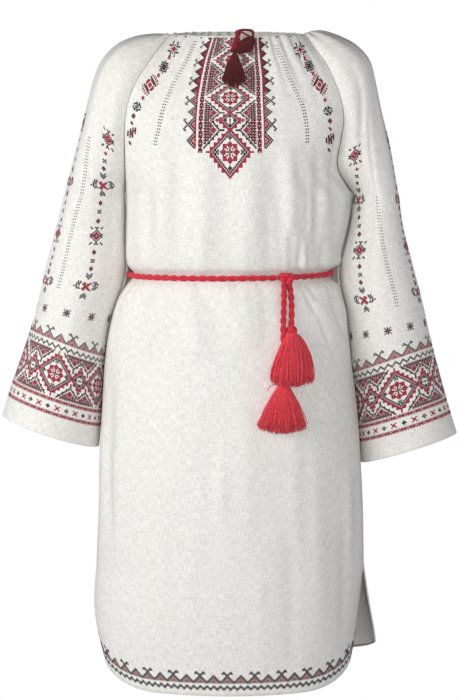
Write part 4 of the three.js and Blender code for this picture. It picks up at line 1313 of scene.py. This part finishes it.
YOKE_ROWS_AT = np.array([  # chart row, its height, the width of a cell there, and how far it leans aside
    (-116, -5.5, 1.24, 6.2), (-104, -18.5, 1.33, 4.6), (-88, -37.5, 1.47, 2.3), (-66, -63.1, 1.63, 1.0),
    (-44, -90.7, 1.73, -1.1), (-22, -122.5, 1.80, -1.5), (0, -167.4, 1.83, -1.6), (17.5, -207.6, 1.84, -1.2),
])
FRONT_STRIP = [  # motif, and its x and z on the wearer's right and on the left
    ("cross_feathers", -81.7, -20.6, 98.8, -22.1), ("dot", -88.5, -33, 105.8, -35),
    ("flake", -95.8, -46.7, 111.4, -45.5),
    ("dot", -103.5, -58.5, 117, -56), ("square", -115.6, -72.4, 126, -72), ("dot", -125.6, -90.8, 133.9, -93.7),
    ("hash", -134.3, -103, 138.2, -109.2), ("diamond", -139.4, -116.2, 141.1, -123.4),
    ("tick", -142, -126.1, 141.5, -134.7), ("cross", -142.5, -139.6, 141.5, -148.9),
    ("tick", -145.1, -154.5, 140.3, -164.5),
]
FRONT_LADDERS = [  # x and z of points down each
    [(-50.1, -11.1), (-64, -38), (-79.7, -65.6), (-97, -108), (-108, -158)],
    [(63.5, -16.9), (73, -38), (82.4, -61.4), (102.1, -102.5), (107.8, -157.5)],
]
SLEEVE_STRIP = {  # down and around of points along it
    "right": [(0, -0.72), (6.33, -0.715), (7, -0.68), (7.7, -0.64), (8.2, -0.6), (9.1, -0.585), (10.2, -0.55)],
    "left": [(0, -0.73), (6.77, -0.74), (7.21, -0.73), (7.65, -0.78), (8.09, -0.815), (8.37, -0.77), (8.61, -0.74),
             (8.85, -0.71), (9.11, -0.69), (9.49, -0.665), (9.89, -0.655), (10.09, -0.655), (10.64, -0.675)],
}
SLEEVE_LADDER = {  # and along its ladder
    "right": [(6.6, -0.42), (6.91, -0.42), (7.53, -0.425), (8.43, -0.37), (9.29, -0.345), (10.39, -0.33)],
    "left": [(8.05, -0.52), (8.13, -0.52), (8.87, -0.49), (9.65, -0.44), (10.29, -0.415), (10.94, -0.42)],
}
STARS = {"right": (-0.9, 10.86, 0.22), "left": (-0.91, 11.43, 0.19)}  # first around, down, spacing
BAND = {"right": (1.78, -0.475), "left": (2.05, -0.53)}  # width of a cell of the cuff's band, and where a flower is
OUTER_STRIP = {"right": -0.17, "left": -0.16}  # around of the strip down the outer side
SLEEVE_MOTIFS = {  # with their down
    "right": [
        ("lozenge", 6.33), ("dot", 6.8), ("small_x", 7.03), ("diamond", 7.25), ("chevron_down", 7.46),
        ("cross_between", 7.71), ("chevron_up", 7.96), ("diamond", 8.21), ("small_x", 8.45), ("diamond", 8.71),
        ("lozenge", 9.09), ("diamond", 9.49), ("small_x", 9.69), ("diamond", 9.87), ("chevron_down", 10.04),
        ("cross_between", 10.25), ("chevron_up", 10.46),
    ],
    "left": [
        ("lozenge", 6.8), ("dot", 7.23), ("small_x", 7.43), ("diamond", 7.63), ("chevron_down", 7.85),
        ("cross_between", 8.13), ("chevron_up", 8.38), ("diamond", 8.63), ("small_x", 8.87), ("diamond", 9.09),
        ("lozenge", 9.49), ("diamond", 9.89), ("small_x", 10.09), ("diamond", 10.27), ("chevron_down", 10.46),
        ("cross_between", 10.67), ("chevron_up", 10.88),
    ],
}

# ---------------------------------------------------------------- stitches


class Needlework:
    """Cross stitches over a cloth, each one two raised threads laid from corner to corner."""

    reach = 0.64  # a stitch's corners stand this far from its middle, in cells, so neighbours meet
    width = 0.52  # how plump the threads are

    def __init__(self, cloth, dark_width=0.58):
        self.cloth, self.parts = cloth, []
        self.dark_width = dark_width  # of the black and green threads

    def work(self, chart, where):
        """Works a chart, given what grid place a column and a row have."""
        c, r, colour = (np.array(column, float) for column in zip(*chart))
        corners = [(self.reach * dc, self.reach * dr) for dc, dr in ((-1, -1), (1, -1), (1, 1), (-1, 1))]
        points = [self.cloth.look(self.cloth.points, *where(c + dc, r + dr)) for dc, dr in corners]
        middle = where(c, r)
        out = unit(self.cloth.look(self.cloth.normals, *middle))
        points += [self.cloth.look(self.cloth.points, *middle), out]
        self.parts.append((np.stack(points, 1), colour.astype(int)))

    def corner_points(self, a, b, c, d, middle, out, width):
        """Two crossed legs, the second over the first."""
        size = np.linalg.norm(b - a, axis=-1, keepdims=True) / 1.8
        base = 0.03 * out
        tip = lambda corner: corner + (middle - corner) * 0.05 + base
        legs = []
        for first, second, aside, rise in ((a, c, b - d, 0.32), (d, b, a - c, 0.44)):
            legs += [
                tip(first), tip(second), middle + aside * width + base, middle + rise * size * out,
                middle - aside * width + base,
            ]
        return legs

    leg = np.array([(0, 4, 3), (0, 3, 2), (1, 2, 3), (1, 3, 4), (0, 2, 4), (1, 4, 2)])
    sides = np.concatenate([leg, leg + 5])

    def mesh(self, name, finishes):
        made = np.concatenate([part for part, _ in self.parts])
        colour = np.concatenate([shade for _, shade in self.parts])
        width = np.where((colour == BLACK) | (colour == GREEN), self.dark_width, self.width)[:, None]
        vertices = np.stack(self.corner_points(*(made[:, k] for k in range(6)), width), 1)
        count, points_each = vertices.shape[:2]
        sides = self.sides[:, ::-1] if self.cloth.flip else self.sides
        faces = (sides[None] + points_each * np.arange(count)[:, None, None]).reshape(-1, 3)
        mesh = new_mesh(name, vertices.reshape(-1, 3) * MM, faces)
        row = math.ceil(math.sqrt(count))
        patch = np.array([(0.1, 0.1), (0.9, 0.1), (0.1, 0.9)]) / np.array([4, 3])
        patches = np.array([(k % 4 / 4, k // 4 / 3) for k in range(12)])
        within = (patch[None] + patches[:, None]).reshape(-1, 2)
        order = np.arange(count)
        cell = np.stack([order % row, order // row], -1)[:, None]
        add_uv(mesh, "OFBake", ((cell + within[None]) / row).reshape(-1, 2))
        piece = new_piece(name, mesh, finishes, smooth=False)
        mesh.polygons.foreach_set("material_index", np.repeat(colour, 12).astype(np.int32))
        return piece


class Openwork(Needlework):
    """Small openings between drawn threads, each a shallow lens painted dark with the shade of the dress's inside that
    shows through it.
    """

    reach = 0.5

    def corner_points(self, a, b, c, d, middle, out, _):
        base = 0.05 * out
        ring = [
            (a + d) / 2 + base, lerp(a, b, 0.22) + base, lerp(a, b, 0.78) + base, (b + c) / 2 + base,
            lerp(c, d, 0.22) + base, lerp(c, d, 0.78) + base,
        ]
        return [*ring, middle + 0.1 * out, middle - 0.4 * out]

    sides = np.array([(6, (k + 1) % 6, k) for k in range(6)] + [(7, k, (k + 1) % 6) for k in range(6)])


def along_cloth(cloth, i, j, spacing):
    """Grid places at even distances along a line over the cloth."""
    fine = np.linspace(0, 1, 600)
    share = np.linspace(0, 1, len(i))
    i, j = np.interp(fine, share, i), np.interp(fine, share, j)
    run = run_along(cloth.look(cloth.points, i, j))
    at = np.arange(0, run[-1], spacing)
    return zip(np.interp(at, run, i), np.interp(at, run, j))


def seen_from_front(cloth, x0, z0, ways, cell):
    """Columns and rows laid out from an x and z, along two ways in that plane."""
    (cx, cz), (rx, rz) = ways
    return lambda c, r: cloth.under(x0 + cell * (c * cx + r * rx), z0 + cell * (c * cz + r * rz))


def on_cloth(cloth, i0, j0, cell):
    """Columns and rows laid out on the cloth itself, round one grid place."""
    i, j = np.array([i0]), np.array([j0])
    down = np.linalg.norm(cloth.look(cloth.points, i + 0.5, j) - cloth.look(cloth.points, i - 0.5, j))
    across = np.linalg.norm(cloth.look(cloth.points, i, j + 0.5) - cloth.look(cloth.points, i, j - 0.5))
    return lambda c, r: (i0 + cell * r / down, j0 + cell * c / across)


STRIP_CELL, SLEEVE_CELL, STAR_CELL = 1.8, 1.75, 1.55  # width of a stitch
HEM_CELL, HEM_ROW, BAND_ROW = 1.66, 1.7, 1.8  # the same, and the height of a row of the hem and of the cuff's band
RUNG = 4.5  # from one rung of a ladder to the next
HOLE_ASIDE, HOLE_WIDE, HOLE_HIGH = 1.65, 2.7, 1.9  # the two openings of a rung
PLAIN_HEM, PLAIN_CUFF, PLAIN_ENDS = 7.8, 30.5, 4  # bare linen below the stitches, and at both ends of the hem's
BAND_COLUMNS = 6 * REPEAT


def strip_ways(side, z):
    """How the threads of the linen lean beside the neck: much at the gathers, little at the bust."""
    lean, sign = smoothstep(z, -135, -55), sign_of(side)
    down = math.radians(6 + 44 * lean)
    across = math.radians(4 + 66 * lean)
    return (math.cos(across), sign * math.sin(across)), (sign * math.sin(down), -math.cos(down))


def work_ladder(openwork, i, j, faint_share):
    """Drawn-thread openings, two to a rung, down a line over the cloth, painted with the shade seen through them; the
    first ones show least, with paler painted shade.
    """
    places = list(along_cloth(openwork.cloth, i, j, RUNG))
    for k, (i0, j0) in enumerate(places):
        where = on_cloth(openwork.cloth, i0, j0, 1.0)
        # painted shade: each opening takes the dark or the paler shade colour of the inside seen through it
        shade = PAINTED_FAINT_SHADE if k < faint_share * len(places) else PAINTED_HOLE_SHADE
        for side in (-1, 1):
            openwork.work([(0, 0, shade)], lambda c, r: where(side * HOLE_ASIDE + c * HOLE_WIDE, r * HOLE_HIGH))


def work_panel(cloth, strips_at, ladders_at, ladder_drop):
    """The strips and ladders beside the gathers of a panel."""
    strips, ladders = Needlework(cloth), Openwork(cloth)
    for motif, *places in strips_at:
        for side, x, z in (("right", *places[:2]), ("left", *places[2:])):
            strips.work(MOTIFS[motif], seen_from_front(cloth, x, z, strip_ways(side, z), STRIP_CELL))
    for route in ladders_at:
        x, z = np.array(route).T
        work_ladder(ladders, *cloth.under(x, z - ladder_drop), 0.6)
    return strips, ladders


def work_hem(cloth):
    """Triangles and a zigzag along a lower edge, from one vent to the other."""
    hem = Needlework(cloth, dark_width=0.8)
    row = cloth.row_run(30)
    room, middle = row[-1] - row[0] - 2 * PLAIN_ENDS, (row[-1] + row[0]) / 2
    columns = int(room / HEM_CELL / (2 * TOOTH)) * 2 * TOOTH + TOOTH
    cell = room / columns

    def where(c, r):
        j = np.interp(middle + c * cell, row, np.arange(len(row)))
        return cloth.above_hem(PLAIN_HEM + (16 - r) * HEM_ROW, j), j

    hem.work(border(columns, 0, MAROON), where)
    return hem


def work_sleeve(cloth, side):
    """A sleeve's strips and ladders, its row of stars, and the wide band over its cuff."""
    strips, ladders, band = Needlework(cloth), Openwork(cloth), Needlework(cloth)
    downs, arounds = np.array(SLEEVE_STRIP[side]).T
    for motif, down in SLEEVE_MOTIFS[side]:
        along = float(np.interp(down, downs, arounds))
        for around in (-along, OUTER_STRIP[side], along):
            i, j = cloth.place(around, down)
            strips.work(MOTIFS[motif], on_cloth(cloth, float(i), float(j), SLEEVE_CELL))
    downs, arounds = np.array(SLEEVE_LADDER[side]).T
    level = np.linspace(downs[0], downs[-1], 60)
    for way in (1, -1):
        work_ladder(ladders, *cloth.place(way * np.interp(level, downs, arounds), level), 2)
    row = cloth.row_run(90)
    cell, flower = BAND[side]
    shift = float(np.interp(flower, cloth.across, row)) / cell
    shift -= REPEAT * round(shift / REPEAT)

    def where(c, r):
        j = np.interp((c + shift) * cell, row, np.arange(len(row)))
        return cloth.above_hem(PLAIN_CUFF + (70 - r) * BAND_ROW, j), j

    half = min(-row[0], row[-1]) / cell - 1
    band.work([stitch for stitch in cuff_chart(BAND_COLUMNS) if abs(stitch[0] + shift) < half], where)
    first, down, spacing = STARS[side]
    for around in np.arange(first, 0.92, spacing):
        i, j = cloth.place(around, down)
        band.work(MOTIFS["star"], on_cloth(cloth, float(i), float(j), STAR_CELL))
    return strips, ladders, band


# ---------------------------------------------------------------- the four pieces of linen

PANEL_COLUMNS, SLEEVE_COLUMNS = 164, 100
PANEL_EASE, SLEEVE_EASE = 0.0008, 0.001  # a piece stops this share short of its seams
FINE_DOWN = YOKE_ROWS + 8  # rows lie closer above this
panel_downs = np.concatenate([
    np.linspace(0, YOKE_ROWS, 62, endpoint=False), np.linspace(YOKE_ROWS, FINE_DOWN, 62, endpoint=False),
    np.linspace(FINE_DOWN, PANEL_DOWN, 100),
])
sleeve_downs = np.concatenate([np.linspace(0, YOKE_ROWS, 56, endpoint=False), np.linspace(YOKE_ROWS, SLEEVE_DOWN, 100)])


def panel_cloth(face, seed):
    rng = np.random.default_rng(seed)
    return Cloth(
        lambda across, down: panel_form(face, across, down),
        lambda across, down, points: panel_detail(face, across, points, rng),
        panel_downs, PANEL_COLUMNS, face == "back", PANEL_EASE,
    )


def sleeve_cloth(side, seed):
    rng = np.random.default_rng(seed)
    return Cloth(
        lambda around, down: sleeve_form(side, around, down),
        lambda around, down, points: sleeve_detail(side, around, down, rng),
        sleeve_downs, SLEEVE_COLUMNS, side == "right", SLEEVE_EASE,
    )


cloths = {
    "front_panel": panel_cloth("front", 11), "back_panel": panel_cloth("back", 12),
    "sleeve_right": sleeve_cloth("right", 13), "sleeve_left": sleeve_cloth("left", 14),
}
linens = {}
for name, cloth in cloths.items():
    piece = linens[name] = cloth.shell(name + "_linen", linen)
    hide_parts(name)

front, back = cloths["front_panel"], cloths["back_panel"]
yoke = Needlework(front)
yoke_row = lambda column, r: np.interp(r, YOKE_ROWS_AT[:, 0], YOKE_ROWS_AT[:, column])
yoke.work(yoke_chart(), lambda c, r: front.under(c * yoke_row(2, r) + yoke_row(3, r), yoke_row(1, r)))
front_strips, front_ladders = work_panel(front, FRONT_STRIP, FRONT_LADDERS, 0)
back_strips, back_ladders = work_panel(
    back, [(motif, x - 6, z + 4, 6 - x, z + 4) for motif, x, z, _, _ in FRONT_STRIP],
    [FRONT_LADDERS[0], [(-x, z) for x, z in FRONT_LADDERS[0]]], -6,
)
cord_piece("neck_drawstring_threaded", ["neck_drawstring"], drawstring, neck_red)
needlework = {"front_panel": {
    "front_yoke_stitches": yoke, "front_side_stitches": front_strips, "front_openwork": front_ladders,
    "front_hem_stitches": work_hem(front),
}, "back_panel": {
    "back_side_stitches": back_strips, "back_openwork": back_ladders, "back_hem_stitches": work_hem(back),
}}
for side in ("right", "left"):
    strips, ladders, band = work_sleeve(cloths["sleeve_" + side], side)
    needlework["sleeve_" + side] = {
        f"sleeve_{side}_stitches": strips, f"sleeve_{side}_openwork": ladders, f"sleeve_{side}_band": band,
    }
for name, piece in linens.items():
    worked = [made.mesh(label, stitch_finishes) for label, made in needlework[name].items()]

# ---------------------------------------------------------------- floor, light and background

WORLD_LIGHT, WORLD_COLOUR = 0.60, (0.975, 0.98, 1, 1)
LIGHTS = {  # place, aim, size and power: a soft key from the left, and a light beside the camera
    "key": ((-1.9, -1.6, 0.15), (0, 0, -0.2), 1.3, 34),
    "front": ((0.2, -2.9, -0.05), (0.03, 0, -0.25), 0.6, 30),
}
FLAGS = {"studio_flag_above": 0.62, "studio_flag_below": -1.31}  # dark sheets out of view, by height


def studio():
    """A white sweep that only the camera sees, an even pale surround, dark flags and two soft lights."""
    scene = bpy.context.scene
    scene.view_settings.view_transform = "Standard"
    world = scene.world or bpy.data.worlds.new("studio")
    scene.world = world
    world.use_nodes = True
    background = world.node_tree.nodes["Background"]
    background.inputs["Color"].default_value = WORLD_COLOUR
    background.inputs["Strength"].default_value = WORLD_LIGHT
    white = Finish("studio_white", Roughness=1.0, Base_Color=(0, 0, 0, 1), Emission_Color=(1, 1, 1, 1))
    white.shader.inputs["Emission Strength"].default_value = 1.0
    white.shader.inputs["Specular IOR Level"].default_value = 0.0
    bpy.ops.object.select_all(action="DESELECT")
    bpy.ops.mesh.primitive_plane_add(size=30, location=(0, 0, -1.3))
    floor = bpy.context.object
    bpy.ops.object.select_all(action="DESELECT")
    bpy.ops.mesh.primitive_uv_sphere_add(segments=48, ring_count=24, radius=14.5, location=(0, 0, -0.4))
    dome = bpy.context.object
    for piece, name in ((floor, "studio_floor"), (dome, "studio_dome")):
        piece.name = name
        piece.data.materials.append(white.material)
        piece.visible_diffuse = piece.visible_glossy = piece.visible_shadow = False
        piece.visible_transmission = False
    dark = Finish("studio_black", Roughness=1.0, Base_Color=(0.02, 0.02, 0.02, 1))
    for name, height in FLAGS.items():
        bpy.ops.object.select_all(action="DESELECT")
        bpy.ops.mesh.primitive_plane_add(size=3.2, location=(0, 0, height))
        flag = bpy.context.object
        flag.name = name
        flag.data.materials.append(dark.material)
        flag.visible_camera = False
    for name, (place, aim, size, power) in LIGHTS.items():
        light = bpy.data.lights.new(name, "AREA")
        light.size, light.energy, light.color = size, power, (1, 0.985, 0.96)
        stand = bpy.data.objects.new(name, light)
        stand.location = place
        way = np.array(aim) - np.array(place)
        stand.rotation_euler = (math.acos(-way[2] / np.linalg.norm(way)), 0, math.atan2(way[1], way[0]) - math.pi / 2)
        scene.collection.objects.link(stand)


studio()
